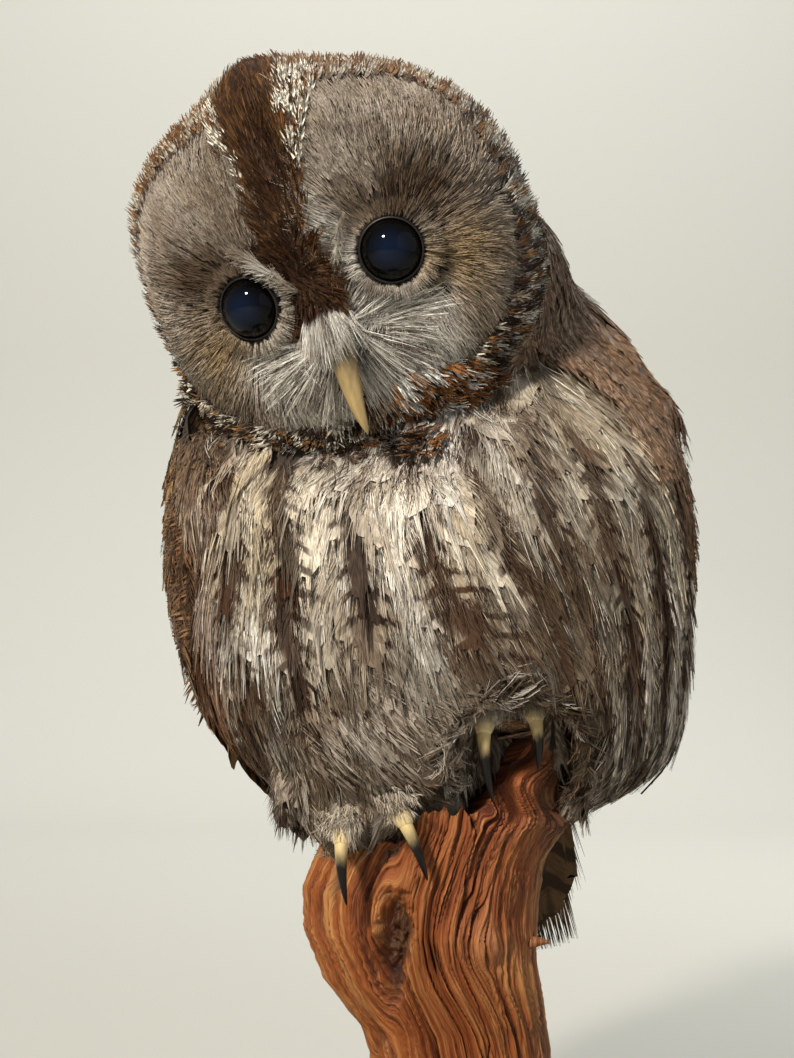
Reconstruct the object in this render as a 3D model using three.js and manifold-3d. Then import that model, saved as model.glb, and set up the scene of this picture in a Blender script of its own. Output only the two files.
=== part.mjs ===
// A mounted tawny owl (Strix aluco) on an upright piece of root wood, on a plain round plinth.
// Millimetres, +Z up; the owl faces -Y; the origin is the centre of the plinth's underside.
// "Right" and "left" in names are the owl's own: its right side is towards -X.
// The solids give the outline of the plumage. Feathers and wood grain are left to the finish.
import * as THREE from "three";
import { mergeVertices } from "three/addons/utils/BufferGeometryUtils.js";
import Module from "manifold-3d";

const wasm = await Module();
wasm.setup();

const vec = (x, y, z) => new THREE.Vector3(x, y, z);

// ---------- driving dimensions ----------
const GAP = 0.4; // left between neighbours

const plinth = { radius: 98, height: 20, edgeRadius: 4, footStep: 3 };

const rootWood = {
  footRadius: 34,
  waist: { z: 88, radius: 25.5, centreX: 5 },
  shoulder: { z: 132, radius: 34, centreX: -6 },
  crown: { low: 157, high: 190, centreX: -1, halfWidth: 30 },
  ledge: { z: 166, startX: -11, startWidth: 6, endX: 15, endWidth: 18 }, // between low and high
  depthShare: 0.72, // front to back against side to side
  centreY: 4,
  twist: 0.012, // radians the flutes turn for each millimetre of height
  flutes: [
    { count: 3, depth: 0.06, phase: -1.56 },
    { count: 5, depth: 0.04, phase: -4.4 },
    { count: 9, depth: 0.03, phase: -6.48 },
  ],
};

const head = {
  centre: vec(-31, -6, 323),
  pitch: 21, // degrees, face down
  roll: 19, // degrees, crown towards the owl's right
  yaw: 12, // degrees, face towards the owl's right
  halfWidth: 58,
  up: 57,
  down: 50,
  front: 35,
  back: 52,
  squareness: 2.45,
  faceShift: 1.8, // the bill and eyes sit this far to the owl's left of the head's middle
  crownShift: 4, // and the crown leans this far to its right
};

// The relief of the face, in the head's own measures.
const face = {
  startsAt: 0.05,
  blend: 0.5,
  dish: { depth: 5.5, radius: 16 }, // round each eye
  wedge: { height: 5, halfWidth: 7, foot: -30, blend: 30 }, // from the crown down to the bill
  bristles: { height: 3.5, up: -28, radius: 14, stretch: 1.3 }, // over the bill's root
  ruff: { height: 2.5, at: 0.86, width: 0.1, up: 3, halfHeight: 50 }, // the rim of the face
  crown: { height: 7, across: 3, halfWidth: 12, from: 20, blend: 25 }, // the bump on its top
  crownFrom: 15, // the crown's lean starts this far up and takes this long
  crownBlend: 40,
};

const eye = { radius: 9.3, spread: 21.4, up: 0.5, forward: 28.5 };

const bill = {
  length: 33,
  width: 9.5,
  depth: 12,
  up: -12,
  forward: 33,
  slant: -1.8, // its point leans this far towards the owl's right
  startAngle: 50,
  bend: 48,
  rootShare: 0.17, // of its length, rounded off under the bristles
  taper: 0.6,
};

const neck = {
  centre: vec(0, 28, 302),
  halfWidth: 43,
  halfDepth: 46,
  halfHeight: 54,
  squareness: 2.1,
  lean: -0.25,
};

const trunk = {
  centre: vec(-1, 15, 222),
  halfWidth: 78,
  front: 58,
  back: 86,
  up: 114,
  down: 64,
  backSquareness: 2.7,
  shoulders: { from: 25, blend: 75, thinner: 0.3, back: 14 }, // towards the neck
  flank: { out: 7, up: -48, halfHeight: 16 }, // the loose feathers of the left flank
  rump: { back: 30, down: 8, x: 4, halfWidth: 62, up: -36, halfHeight: 36 }, // out to the tail
};
// The belly is open in front of the root's high step, where the left foot stands.
const footNotch = { centre: vec(19.5, -28, 166), halfSize: vec(16.5, 36, 29), squareness: 2.6 };
// Round the face the breast falls back, so that the ruff stands proud of it.
const collar = { y: -6, furthestY: -66, fade: 0.55, softness: 4 };

const wing = {
  chord: 106,
  backShift: 6, // how far behind its route its middle lies
  thickness: 9,
  cup: 14, // how far its edges bend in, at cupAt from its middle
  cupAt: 40,
  bodyY: 20, // the line it is wrapped round
  wrap: 0.7,
  wristShare: 0.24, // of its length, rounded off at the bend
  tipShare: 0.34, // of its width, left at the tip
};
const wingRoutes = {
  right: [vec(-77, 0, 280), vec(-83, 38, 244), vec(-71, 80, 200), vec(-14, 150, 122)],
  left: [vec(64, 6, 284), vec(76, 42, 246), vec(60, 84, 202), vec(22, 150, 124)],
};

const tail = {
  base: vec(4, 70, 240),
  tip: vec(27, 154, 95),
  baseWidth: 46,
  tipWidth: 66,
  baseThickness: 20,
  tipThickness: 4,
  arch: 7,
  tipRounding: 9,
};

const legs = {
  right: { hip: vec(-40, 10, 198), ankle: vec(-29, -6, 154), hipRadius: 26, ankleRadius: 13 },
  left: { hip: vec(22, 8, 232), ankle: vec(20, -4, 186), hipRadius: 20, ankleRadius: 13 },
};

const toe = { radius: 5.6, tipShare: 0.62, arch: 3.5 };
const claw = { radius: 2.5, depthShare: 1.15, bulge: 0.3, bulgeAt: 0.45, sunk: 0.12, taper: 0.7 };
// Each toe runs from the ankle to its knuckle, where the claw starts.
const toes = {
  right_inner: { leg: "right", knuckle: vec(-13.7, -25, 165), clawTip: vec(-6, -24, 146.5) },
  right_middle: { leg: "right", knuckle: vec(-29.6, -24, 160), clawTip: vec(-28.4, -24.5, 139.8) },
  left_inner: { leg: "left", knuckle: vec(9.9, -24, 191), clawTip: vec(12.3, -24.5, 168) },
  left_middle: { leg: "left", knuckle: vec(23.6, -23, 193), clawTip: vec(24.7, -24, 177) },
};

// ---------- colours ----------
const paint = (color, roughness) =>
  new THREE.MeshStandardMaterial({ color, roughness, metalness: 0 });
const plumagePaint = paint(0x9a8c7c, 0.95);
const flightPaint = paint(0x5f4c3b, 0.9);
const facePaint = paint(0x978b80, 0.95);
const glassPaint = paint(0x07080c, 0.05);
const hornPaint = paint(0xd8c89a, 0.45);
const clawPaint = paint(0x4a3c2c, 0.4);
const rootPaint = paint(0x9a5a34, 0.8);
const plinthPaint = paint(0x6f4a2e, 0.5);

// ---------- helpers ----------
const radians = THREE.MathUtils.degToRad;
const mix = THREE.MathUtils.lerp;
const ease = (x) => THREE.MathUtils.smoothstep(x, 0, 1);
const bell = (x, width) => Math.exp(-((x / width) ** 2));
const side = (value, negative, positive) => (value < 0 ? negative : positive);
const signedPower = (x, power) => Math.sign(x) * Math.abs(x) ** power;
// Girths from 0 to 1 along a body: rounded at its start only, and rounded at both ends.
const roundStart = (s, share) => Math.sqrt(1 - (1 - Math.min(1, s / share)) ** 2);
const roundEnds = (s, power) => Math.sqrt(Math.max(0, 1 - Math.abs(2 * s - 1) ** power));

// Only positions, with shared vertices merged, as the booleans need.
function welded(geometry) {
  const g = geometry.clone();
  g.deleteAttribute("normal");
  g.deleteAttribute("uv");
  return mergeVertices(g, 1e-4);
}

function solid(geometry) {
  const g = welded(geometry);
  return new wasm.Manifold(
    new wasm.Mesh({
      numProp: 3,
      vertProperties: g.attributes.position.array,
      triVerts: new Uint32Array(g.index.array),
    }),
  );
}

function geometryOf(manifold) {
  const m = manifold.getMesh();
  const xyz = new Float32Array(m.numVert * 3);
  for (let i = 0; i < m.numVert; i++) {
    for (let k = 0; k < 3; k++) xyz[3 * i + k] = m.vertProperties[m.numProp * i + k];
  }
  return new THREE.BufferGeometry()
    .setAttribute("position", new THREE.BufferAttribute(xyz, 3))
    .setIndex(new THREE.BufferAttribute(new Uint32Array(m.triVerts), 1));
}

// The same surface moved outwards by the gap, to cut a neighbour with.
function grown(geometry) {
  const g = welded(geometry);
  g.computeVertexNormals();
  const { position, normal } = g.attributes;
  for (let i = 0; i < position.count; i++) {
    position.setXYZ(
      i,
      position.getX(i) + GAP * normal.getX(i),
      position.getY(i) + GAP * normal.getY(i),
      position.getZ(i) + GAP * normal.getZ(i),
    );
  }
  return g;
}

const joined = (...geometries) =>
  geometryOf(geometries.map(solid).reduce((whole, part) => whole.add(part)));

// A shape less its grown neighbours, without the slivers that a cut leaves beside it.
function fitted(geometry, ...neighbours) {
  const cutters = neighbours.flatMap((g) => [solid(grown(g)), solid(g)]);
  const rest = cutters.reduce((left, cutter) => left.subtract(cutter), solid(geometry));
  return geometryOf(rest.decompose().reduce((a, b) => (b.volume() > a.volume() ? b : a)));
}

// A ball of facets, each point moved to place(direction). Its poles are on the Z axis.
function ball(around, rows, place) {
  const g = welded(new THREE.SphereGeometry(1, around, rows).rotateX(Math.PI / 2));
  const position = g.attributes.position;
  const direction = new THREE.Vector3();
  for (let i = 0; i < position.count; i++) {
    direction.fromBufferAttribute(position, i).normalize();
    const p = place(direction);
    position.setXYZ(i, p.x, p.y, p.z);
  }
  return g;
}

// A long body along a line: place(s, cx, cy) with s from 0 to 1 and (cx, cy) a unit circle round it.
function spindle(around, rows, place) {
  return ball(around, rows, (d) => {
    const flat = Math.hypot(d.x, d.y);
    const onPole = flat < 1e-6;
    return place((1 - d.z) / 2, onPole ? 0 : d.x / flat, onPole ? 0 : d.y / flat);
  });
}

// The distance from a centre to a rounded box's surface, along a unit direction.
function reach(d, x, y, z, power) {
  const sum =
    Math.abs(d.x / x) ** power + Math.abs(d.y / y) ** power + Math.abs(d.z / z) ** power;
  return sum ** (-1 / power);
}

// ---------- head ----------
const turn = (axis, degrees) => new THREE.Matrix4()[`makeRotation${axis}`](radians(degrees));
const headFrame = new THREE.Matrix4()
  .makeTranslation(head.centre)
  .multiply(turn("Z", -head.yaw))
  .multiply(turn("X", head.pitch))
  .multiply(turn("Y", -head.roll));

// A point of the head from its own measures: across to the owl's left, up, and forward.
const onHead = (across, up, forward) => vec(across, -forward, up).applyMatrix4(headFrame);

function headShape() {
  const { dish, wedge, bristles, ruff, crown } = face;
  return ball(30, 20, (d) => {
    const depth = side(d.y, head.front, head.back);
    const height = side(d.z, head.down, head.up);
    const p = d.clone().multiplyScalar(reach(d, head.halfWidth, depth, height, head.squareness));
    const onFace = ease((-d.y - face.startsAt) / face.blend);
    const x = p.x - head.faceShift;
    const fromEye = Math.hypot(Math.abs(x) - eye.spread, p.z - eye.up);
    const fromBill = Math.hypot(x / bristles.stretch, p.z - bristles.up);
    const fromMiddle = Math.hypot(p.x / head.halfWidth, (p.z - ruff.up) / ruff.halfHeight);
    const relief =
      wedge.height * bell(x, wedge.halfWidth) * ease((p.z - wedge.foot) / wedge.blend) +
      bristles.height * bell(fromBill, bristles.radius) +
      ruff.height * bell(fromMiddle - ruff.at, ruff.width) -
      dish.depth * bell(fromEye, dish.radius);
    p.y -= onFace * relief;
    const onCrown = bell(p.x - crown.across, crown.halfWidth);
    p.x -= head.crownShift * ease((p.z - face.crownFrom) / face.crownBlend);
    p.z += crown.height * onCrown * ease((p.z - crown.from) / crown.blend);
    return p.applyMatrix4(headFrame);
  });
}

function eyeShape(hand) {
  const centre = onHead(hand * eye.spread + head.faceShift, eye.up, eye.forward);
  return ball(16, 8, (d) => d.clone().multiplyScalar(eye.radius).add(centre));
}

// The upper bill leaves the bristles and bends down along an arc to its point.
function billShape() {
  const from = radians(bill.startAngle);
  const bend = radians(bill.bend);
  const arcRadius = bill.length / bend;
  return spindle(10, 10, (s, cx, cy) => {
    const angle = from + bend * s;
    const girth = roundStart(s, bill.rootShare) * (1 - s) ** bill.taper;
    const up = bill.up - arcRadius * (Math.cos(from) - Math.cos(angle));
    const forward = bill.forward + arcRadius * (Math.sin(angle) - Math.sin(from));
    const outwards = (bill.depth / 2) * girth * cy;
    return onHead(
      (bill.width / 2) * girth * cx + head.faceShift + bill.slant * s,
      up - outwards * Math.cos(angle),
      forward - outwards * Math.sin(angle),
    );
  });
}

// ---------- neck and trunk ----------
function neckShape() {
  const { halfWidth, halfDepth, halfHeight, squareness } = neck;
  return ball(20, 13, (d) => {
    const p = d.clone().multiplyScalar(reach(d, halfWidth, halfDepth, halfHeight, squareness));
    p.y += neck.lean * p.z;
    return p.add(neck.centre);
  });
}

function notchShape() {
  const { centre, halfSize, squareness } = footNotch;
  return ball(12, 8, (d) =>
    d
      .clone()
      .multiplyScalar(reach(d, halfSize.x, halfSize.y, halfSize.z, squareness))
      .add(centre),
  );
}

// How far out a point is from the head's outline, seen from the front: 1 on the outline.
function outsideFace(p) {
  const x = p.x - head.centre.x;
  const z = p.z - head.centre.z - face.ruff.up;
  const tilt = radians(head.roll);
  const across = x * Math.cos(tilt) + z * Math.sin(tilt);
  const up = z * Math.cos(tilt) - x * Math.sin(tilt);
  return Math.hypot(across / head.halfWidth, up / head.down);
}

function trunkShape() {
  const { shoulders, flank, rump } = trunk;
  return ball(26, 17, (d) => {
    const flat = Math.hypot(d.x, d.y) || 1;
    const ring = Math.max(0, 1 - Math.abs(d.z) ** 2.6) ** (1 / 2.4);
    const z = d.z * side(d.z, trunk.down, trunk.up);
    const high = ease((z - shoulders.from) / shoulders.blend);
    const depth = side(d.y, trunk.front, trunk.back) * (1 - shoulders.thinner * high);
    const corner = reach(vec(d.x / flat, d.y / flat, 0), 1, 1, 1, side(d.y, 2, trunk.backSquareness));
    const toSide = (corner * d.x) / flat;
    const toBack = (corner * d.y) / flat;
    const p = vec(toSide * ring * trunk.halfWidth, toBack * ring * depth + shoulders.back * high, z);
    p.x += flank.out * bell(z - flank.up, flank.halfHeight) * Math.max(0, toSide);
    const onRump =
      Math.max(0, toBack) *
      bell(p.x - rump.x, rump.halfWidth) *
      bell(z - rump.up, rump.halfHeight);
    p.y += rump.back * onRump;
    p.z -= rump.down * onRump;
    p.add(trunk.centre);
    const fade = ease((outsideFace(p) - 1) / collar.fade);
    const limit = mix(collar.y, collar.furthestY, fade);
    p.y = limit + collar.softness * Math.log1p(Math.exp((p.y - limit) / collar.softness));
    return p;
  });
}

// ---------- wings and tail ----------
// A folded wing is a leaf from the wrist to the tip, cupped round the body.
function wingShape(name) {
  const route = new THREE.CatmullRomCurve3(wingRoutes[name]);
  const hand = name === "right" ? -1 : 1;
  return spindle(16, 12, (s, cx, cy) => {
    const place = route.getPoint(s);
    const along = route.getTangent(s);
    const out = vec(place.x, (place.y - wing.bodyY) * wing.wrap, 0);
    out.addScaledVector(along, -out.dot(along)).normalize();
    const across = new THREE.Vector3().crossVectors(along, out);
    const outline = roundStart(s, wing.wristShare) * Math.sqrt(Math.max(0, 1 - s ** 10));
    const half = (wing.chord / 2) * outline * mix(1, wing.tipShare, s ** 1.15);
    const t = half * signedPower(cx, 0.8) - hand * wing.backShift * outline;
    const thick = (wing.thickness / 2) * outline ** 0.8 * cy;
    return place
      .addScaledVector(across, t)
      .addScaledVector(out, thick - wing.cup * (t / wing.cupAt) ** 2);
  });
}

function tailShape() {
  const along = tail.tip.clone().sub(tail.base);
  const length = along.length();
  along.normalize();
  const across = vec(1, 0, 0);
  across.addScaledVector(along, -across.dot(along)).normalize();
  const out = new THREE.Vector3().crossVectors(across, along);
  return spindle(16, 10, (s, cx, cy) => {
    const end = roundEnds(s, 7);
    const t = (mix(tail.baseWidth, tail.tipWidth, s) / 2) * end * cx;
    const edge = (t / (tail.tipWidth / 2)) ** 2;
    const thick = (mix(tail.baseThickness, tail.tipThickness, s) / 2) * end * cy;
    return tail.base
      .clone()
      .addScaledVector(along, s * length - s * tail.tipRounding * edge)
      .addScaledVector(across, t)
      .addScaledVector(out, thick - tail.arch * edge);
  });
}

// ---------- legs, feet and claws ----------
function legShape({ hip, ankle, hipRadius, ankleRadius }) {
  return spindle(12, 8, (s, cx, cy) => {
    const r = mix(hipRadius, ankleRadius, s) * roundEnds(s, 4);
    return hip.clone().lerp(ankle, s).add(vec(cx * r, cy * r, 0));
  });
}

function toeShape({ leg, knuckle }) {
  const start = legs[leg].ankle;
  const along = knuckle.clone().sub(start);
  const across = new THREE.Vector3().crossVectors(along, vec(0, 0, 1)).normalize();
  const up = new THREE.Vector3().crossVectors(across, along).normalize();
  return spindle(8, 6, (s, cx, cy) => {
    const r = toe.radius * mix(1, toe.tipShare, s) * roundEnds(s, 5);
    return start
      .clone()
      .addScaledVector(along, s)
      .addScaledVector(across, r * cx)
      .addScaledVector(up, r * cy + toe.arch * Math.sin(Math.PI * s));
  });
}

function clawShape({ knuckle, clawTip }) {
  const middle = knuckle.clone().lerp(clawTip, claw.bulgeAt);
  middle.y -= claw.bulge * knuckle.distanceTo(clawTip);
  const start = knuckle.clone().lerp(middle, claw.sunk);
  const route = new THREE.QuadraticBezierCurve3(start, middle, clawTip);
  return spindle(8, 7, (s, cx, cy) => {
    const place = route.getPoint(s);
    const along = route.getTangent(s);
    const across = vec(1, 0, 0);
    across.addScaledVector(along, -across.dot(along)).normalize();
    const out = new THREE.Vector3().crossVectors(across, along);
    const girth = roundStart(s, 0.2) * (1 - s) ** claw.taper;
    return place
      .addScaledVector(across, claw.radius * girth * cx)
      .addScaledVector(out, claw.radius * claw.depthShare * girth * cy);
  });
}

// ---------- root wood and plinth ----------
function rootAt(z) {
  const { footRadius, waist, shoulder, crown } = rootWood;
  const below = ease((z - plinth.height) / (waist.z - plinth.height));
  const above = ease((z - waist.z) / (shoulder.z - waist.z));
  const atCrown = ease((z - shoulder.z) / (crown.high - shoulder.z));
  return {
    radius: mix(mix(footRadius, waist.radius, below), shoulder.radius, above),
    centreX: mix(mix(waist.centreX, shoulder.centreX, above), crown.centreX, atCrown),
  };
}

function rootTop(x) {
  const { crown, ledge } = rootWood;
  const onLedge = ease((x - ledge.startX) / ledge.startWidth + 0.5);
  const beyondLedge = ease((x - ledge.endX) / ledge.endWidth + 0.5);
  return mix(mix(crown.low, ledge.z, onLedge), crown.high, beyondLedge);
}

// From the pole at the foot to the pole at the top, the floor, the wall and the top take these shares.
function rootShape() {
  const bottom = plinth.height + GAP;
  const floorShare = 0.1;
  const wallShare = 0.8;
  const { crown, twist, flutes, depthShare, centreY } = rootWood;
  return ball(24, 17, (d) => {
    const t = Math.acos(THREE.MathUtils.clamp(-d.z, -1, 1)) / Math.PI;
    const angle = Math.atan2(d.y, d.x);
    const rise = THREE.MathUtils.clamp((t - floorShare) / (wallShare - floorShare), 0, 1);
    const wallTop = rootTop(crown.centreX + crown.halfWidth * Math.cos(angle));
    const z = mix(bottom, wallTop, rise);
    let inwards = 1;
    if (t < floorShare) inwards = t / floorShare;
    if (t > wallShare) inwards = (1 - t) / (1 - wallShare);
    const turned = angle + twist * z;
    const lobes = flutes.reduce((sum, f) => sum + f.depth * Math.cos(f.count * turned + f.phase), 1);
    const { radius, centreX } = rootAt(z);
    const r = radius * lobes * inwards;
    const x = centreX + r * Math.cos(angle);
    const y = centreY + r * depthShare * Math.sin(angle);
    return vec(x, y, t > wallShare ? rootTop(x) : z);
  });
}

function plinthShape() {
  const { radius, height, edgeRadius, footStep } = plinth;
  const edge = new THREE.Path()
    .moveTo(0, 0)
    .lineTo(radius - footStep, 0)
    .lineTo(radius, footStep)
    .lineTo(radius, height - edgeRadius)
    .absarc(radius - edgeRadius, height - edgeRadius, edgeRadius, 0, Math.PI / 2)
    .lineTo(0, height);
  return new THREE.LatheGeometry(edge.getPoints(2), 32).rotateX(Math.PI / 2);
}

// ---------- assembly ----------
const headSolid = headShape();
const eyeRight = eyeShape(-1);
const eyeLeft = eyeShape(1);
const billSolid = billShape();
const trunkSolid = trunkShape();
const wingRight = wingShape("right");
const wingLeft = wingShape("left");
const tailSolid = tailShape();
const legRight = legShape(legs.right);
const legLeft = legShape(legs.left);
const toesOf = (name) => Object.values(toes).filter((one) => one.leg === name);
const footRight = joined(...toesOf("right").map(toeShape));
const footLeft = joined(...toesOf("left").map(toeShape));
const root = rootShape();
const besideTrunk = [notchShape(), headSolid, wingRight, wingLeft, tailSolid];
const underTrunk = [legRight, legLeft, footRight, footLeft, root];

const owl = new THREE.Group();
function add(name, geometry, material) {
  const mesh = new THREE.Mesh(geometry.index ? geometry.toNonIndexed() : geometry, material);
  mesh.geometry.computeVertexNormals();
  mesh.name = name;
  owl.add(mesh);
}

add("head", fitted(headSolid, eyeRight, eyeLeft, billSolid), facePaint);
add("eye_right", eyeRight, glassPaint);
add("eye_left", eyeLeft, glassPaint);
add("bill", billSolid, hornPaint);
add("neck", fitted(neckShape(), headSolid, trunkSolid), plumagePaint);
add("trunk", fitted(trunkSolid, ...besideTrunk, ...underTrunk), plumagePaint);
add("wing_right", fitted(wingRight, headSolid), flightPaint);
add("wing_left", wingLeft, flightPaint);
add("tail", fitted(tailSolid, wingRight, wingLeft), flightPaint);
add("leg_right", fitted(legRight, root, footRight), plumagePaint);
add("leg_left", fitted(legLeft, root, footLeft), plumagePaint);
add("foot_right", fitted(footRight, root), plumagePaint);
add("foot_left", fitted(footLeft, root), plumagePaint);
for (const [name, one] of Object.entries(toes)) {
  add(`claw_${name}`, clawShape(one), clawPaint);
}
add("root_wood", root, rootPaint);
add("stand_base", plinthShape(), plinthPaint);

export default owl;
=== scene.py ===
"""A mounted tawny owl on its root: one skin for the whole bird, a coat of feathers that stand on it,
glass eyes with lids, a bill and claws of horn, and the grained root on a plain plinth."""

import math

import bmesh
import bpy
import numpy as np
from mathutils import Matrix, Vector
from mathutils.bvhtree import BVHTree
from mathutils.kdtree import KDTree


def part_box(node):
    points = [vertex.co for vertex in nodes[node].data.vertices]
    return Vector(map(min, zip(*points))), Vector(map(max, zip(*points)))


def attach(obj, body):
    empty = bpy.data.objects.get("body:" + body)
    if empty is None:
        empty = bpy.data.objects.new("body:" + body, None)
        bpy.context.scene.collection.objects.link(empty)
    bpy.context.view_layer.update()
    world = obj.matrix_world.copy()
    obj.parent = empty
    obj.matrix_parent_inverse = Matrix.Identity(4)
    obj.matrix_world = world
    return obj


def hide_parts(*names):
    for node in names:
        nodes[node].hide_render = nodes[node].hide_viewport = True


MM = 0.001
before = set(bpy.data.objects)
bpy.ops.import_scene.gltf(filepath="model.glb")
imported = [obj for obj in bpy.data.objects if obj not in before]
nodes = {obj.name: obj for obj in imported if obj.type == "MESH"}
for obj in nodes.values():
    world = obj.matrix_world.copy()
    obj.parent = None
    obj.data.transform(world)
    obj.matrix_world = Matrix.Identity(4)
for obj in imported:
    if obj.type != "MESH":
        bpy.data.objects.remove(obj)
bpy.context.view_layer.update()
rng = np.random.default_rng(20)


# ---------- small helpers ----------
def unit(v):
    return v / np.maximum(np.linalg.norm(v, axis=-1, keepdims=True), 1e-12)


def smooth(x, low=0.0, high=1.0):
    t = np.clip((x - low) / (high - low), 0, 1)
    return t * t * (3 - 2 * t)


def bell(x, width):
    return np.exp(-((x / width) ** 2))


def mix(a, b, share):
    return a + (b - a) * share


def colour(hex_value):
    """Linear RGB from a written sRGB value."""
    srgb = np.array([(hex_value >> shift) & 255 for shift in (16, 8, 0)]) / 255
    return np.where(srgb < 0.04045, srgb / 12.92, ((srgb + 0.055) / 1.055) ** 2.4)


def noise(p, seed=0):
    """Smooth value noise from 0 to 1 at points p, one lattice cell to the unit."""
    cell = np.floor(p).astype(np.int64)
    f = p - cell
    f = f * f * (3 - 2 * f)
    total = np.zeros(len(p))
    for corner in range(8):
        step = np.array([corner & 1, corner >> 1 & 1, corner >> 2 & 1])
        i = cell + step
        h = i[:, 0] * 374761393 + i[:, 1] * 668265263 + i[:, 2] * 1440662683 + seed * 974634777
        h = ((h ^ (h >> 13)) * 1274126177) & 0xFFFFFFFF
        h = ((h ^ (h >> 16)) & 0xFFFF) / 65535
        total += h * np.prod(np.where(step == 1, f, 1 - f), axis=1)
    return total


def layered(p, seed=0, octaves=4):
    """Noise with finer and finer detail, from 0 to 1."""
    total = np.zeros(len(p))
    weight = 0.0
    for octave in range(octaves):
        total += noise(p * 2.03**octave, seed + octave) * 0.5**octave
        weight += 0.5**octave
    return total / weight


# ---------- meshes ----------
def make_mesh(name, points, quads, attributes=None):
    """A smooth-shaded mesh object from arrays of points and of four-cornered faces."""
    mesh = bpy.data.meshes.new(name)
    mesh.vertices.add(len(points))
    mesh.vertices.foreach_set("co", np.ascontiguousarray(points, np.float32).ravel())
    mesh.loops.add(quads.size)
    mesh.loops.foreach_set("vertex_index", np.ascontiguousarray(quads, np.int32).ravel())
    mesh.polygons.add(len(quads))
    mesh.polygons.foreach_set("loop_start", np.arange(0, quads.size, quads.shape[1], dtype=np.int32))
    for key, values in (attributes or {}).items():
        layer = mesh.attributes.new(key, "FLOAT_VECTOR", "POINT")
        layer.data.foreach_set("vector", np.ascontiguousarray(values, np.float32).ravel())
    mesh.update(calc_edges=True)
    mesh.shade_smooth()
    made = bpy.data.objects.new(name, mesh)
    bpy.context.scene.collection.objects.link(made)
    return made


def grid_quads(rows, columns, closed=False):
    """Faces of a grid of points, rows by columns; closed joins the last column to the first."""
    across = columns if closed else columns - 1
    row, column = np.meshgrid(np.arange(rows - 1), np.arange(across), indexing="ij")
    nearer = (row * columns + column).ravel()
    beside = (row * columns + (column + 1) % columns).ravel()
    return np.stack([nearer, beside, beside + columns, nearer + columns], 1)


def swept(rows, around, place, close_start=True, close_end=True):
    """A tube whose point at share s and angle a is place(s, a); its ends draw in to a point."""
    s, a = np.meshgrid(np.linspace(0, 1, rows), np.arange(around) * 2 * math.pi / around, indexing="ij")
    points = place(s.ravel(), a.ravel())
    quads = grid_quads(rows, around, closed=True)
    caps = []
    if close_start:
        points = np.vstack([points, points[:around].mean(0)])
        caps.append((len(points) - 1, np.arange(around), True))
    if close_end:
        points = np.vstack([points, points[(rows - 1) * around : rows * around].mean(0)])
        caps.append((len(points) - 1, (rows - 1) * around + np.arange(around), False))
    for centre, ring, flip in caps:
        first, second = ring[0::2], ring[1::2]
        third = np.roll(first, -1)
        fan = np.stack([first, np.full(len(first), centre), third, second], 1)
        quads = np.vstack([quads, fan if flip else fan[:, ::-1]])
    return points, quads


def finish_piece(piece, slot, material, *replaced):
    piece.data.materials.append(material)
    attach(piece, "root")
    if replaced:
        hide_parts(*replaced)
    return piece


# ---------- the head's own measures: across to the owl's left, forward, up ----------
def turn(axis, degrees):
    c, s = math.cos(math.radians(degrees)), math.sin(math.radians(degrees))
    i, j = [(1, 2), (2, 0), (0, 1)][axis]
    m = np.eye(3)
    m[i, i] = m[j, j] = c
    m[i, j], m[j, i] = -s, s
    return m


HEAD_CENTRE = np.array([-31, -6, 323]) * MM
HEAD_TURN = turn(2, -12) @ turn(0, 21) @ turn(1, -19)
FACE_SHIFT = 1.8 * MM  # the eyes' and bill's middle line lies this far to the owl's left
EYE_SPREAD = 21.4 * MM
EYE_UP = 0.5 * MM
FLIP = np.array([1, -1, 1])  # forward is against the frame's +Y


def to_head(p):
    return (np.atleast_2d(p) - HEAD_CENTRE) @ HEAD_TURN * FLIP


def from_head(q):
    return HEAD_CENTRE + (np.atleast_2d(q) * FLIP) @ HEAD_TURN.T


def head_vector(v):
    return (np.atleast_2d(v) * FLIP) @ HEAD_TURN.T


def face_ring(q):
    """0 at the face's middle, 1 on the rim of the facial disc."""
    up = q[:, 2] - 4 * MM
    height = np.where(up > 0, 47, 44) * MM
    return (np.abs(q[:, 0] / (56 * MM)) ** 2.6 + np.abs(up / height) ** 2.6) ** (1 / 2.6)


def from_eye(q):
    """The vector across and up from the nearer eye, and whether that is the owl's left eye."""
    left = q[:, 0] > FACE_SHIFT
    centre = np.where(left, EYE_SPREAD, -EYE_SPREAD) + FACE_SHIFT
    return np.stack([q[:, 0] - centre, q[:, 2] - EYE_UP], 1), left


# ---------- the skin ----------
# How far the skin lies under the plumage's outline, by the solid it replaces.
COAT_DEPTH = {
    "head": 3.2,
    "neck": 5.0,
    "trunk": 6.0,
    "wing_right": 2.0,
    "wing_left": 2.0,
    "tail": 1.4,
    "leg_right": 4.0,
    "leg_left": 3.5,
    "foot_right": 1.6,
    "foot_left": 1.6,
}
FLESH = list(COAT_DEPTH)
GROWTH = 0.5 * MM  # the solids grow by this to join across the gaps between them
VOXEL = 1.7 * MM
TAIL_BASE = np.array([4, 70, 240]) * MM
TAIL_TIP = np.array([27, 154, 95]) * MM


def solid_arrays(name):
    """A flesh solid's points, grown a little, and its triangles. The tail's quills end half way."""
    bm = bmesh.new()
    bm.from_mesh(nodes[name].data)
    bmesh.ops.remove_doubles(bm, verts=bm.verts, dist=1e-6)
    bmesh.ops.triangulate(bm, faces=bm.faces)
    bm.normal_update()
    points = np.array([v.co + v.normal * GROWTH for v in bm.verts])
    triangles = np.array([[v.index for v in f.verts] for f in bm.faces])
    bm.free()
    if name == "tail":
        along = unit(TAIL_TIP - TAIL_BASE)
        reach = (points - TAIL_BASE) @ along
        points = points - np.outer(np.maximum(reach - 70 * MM, 0), along)
    return points, triangles


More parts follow.
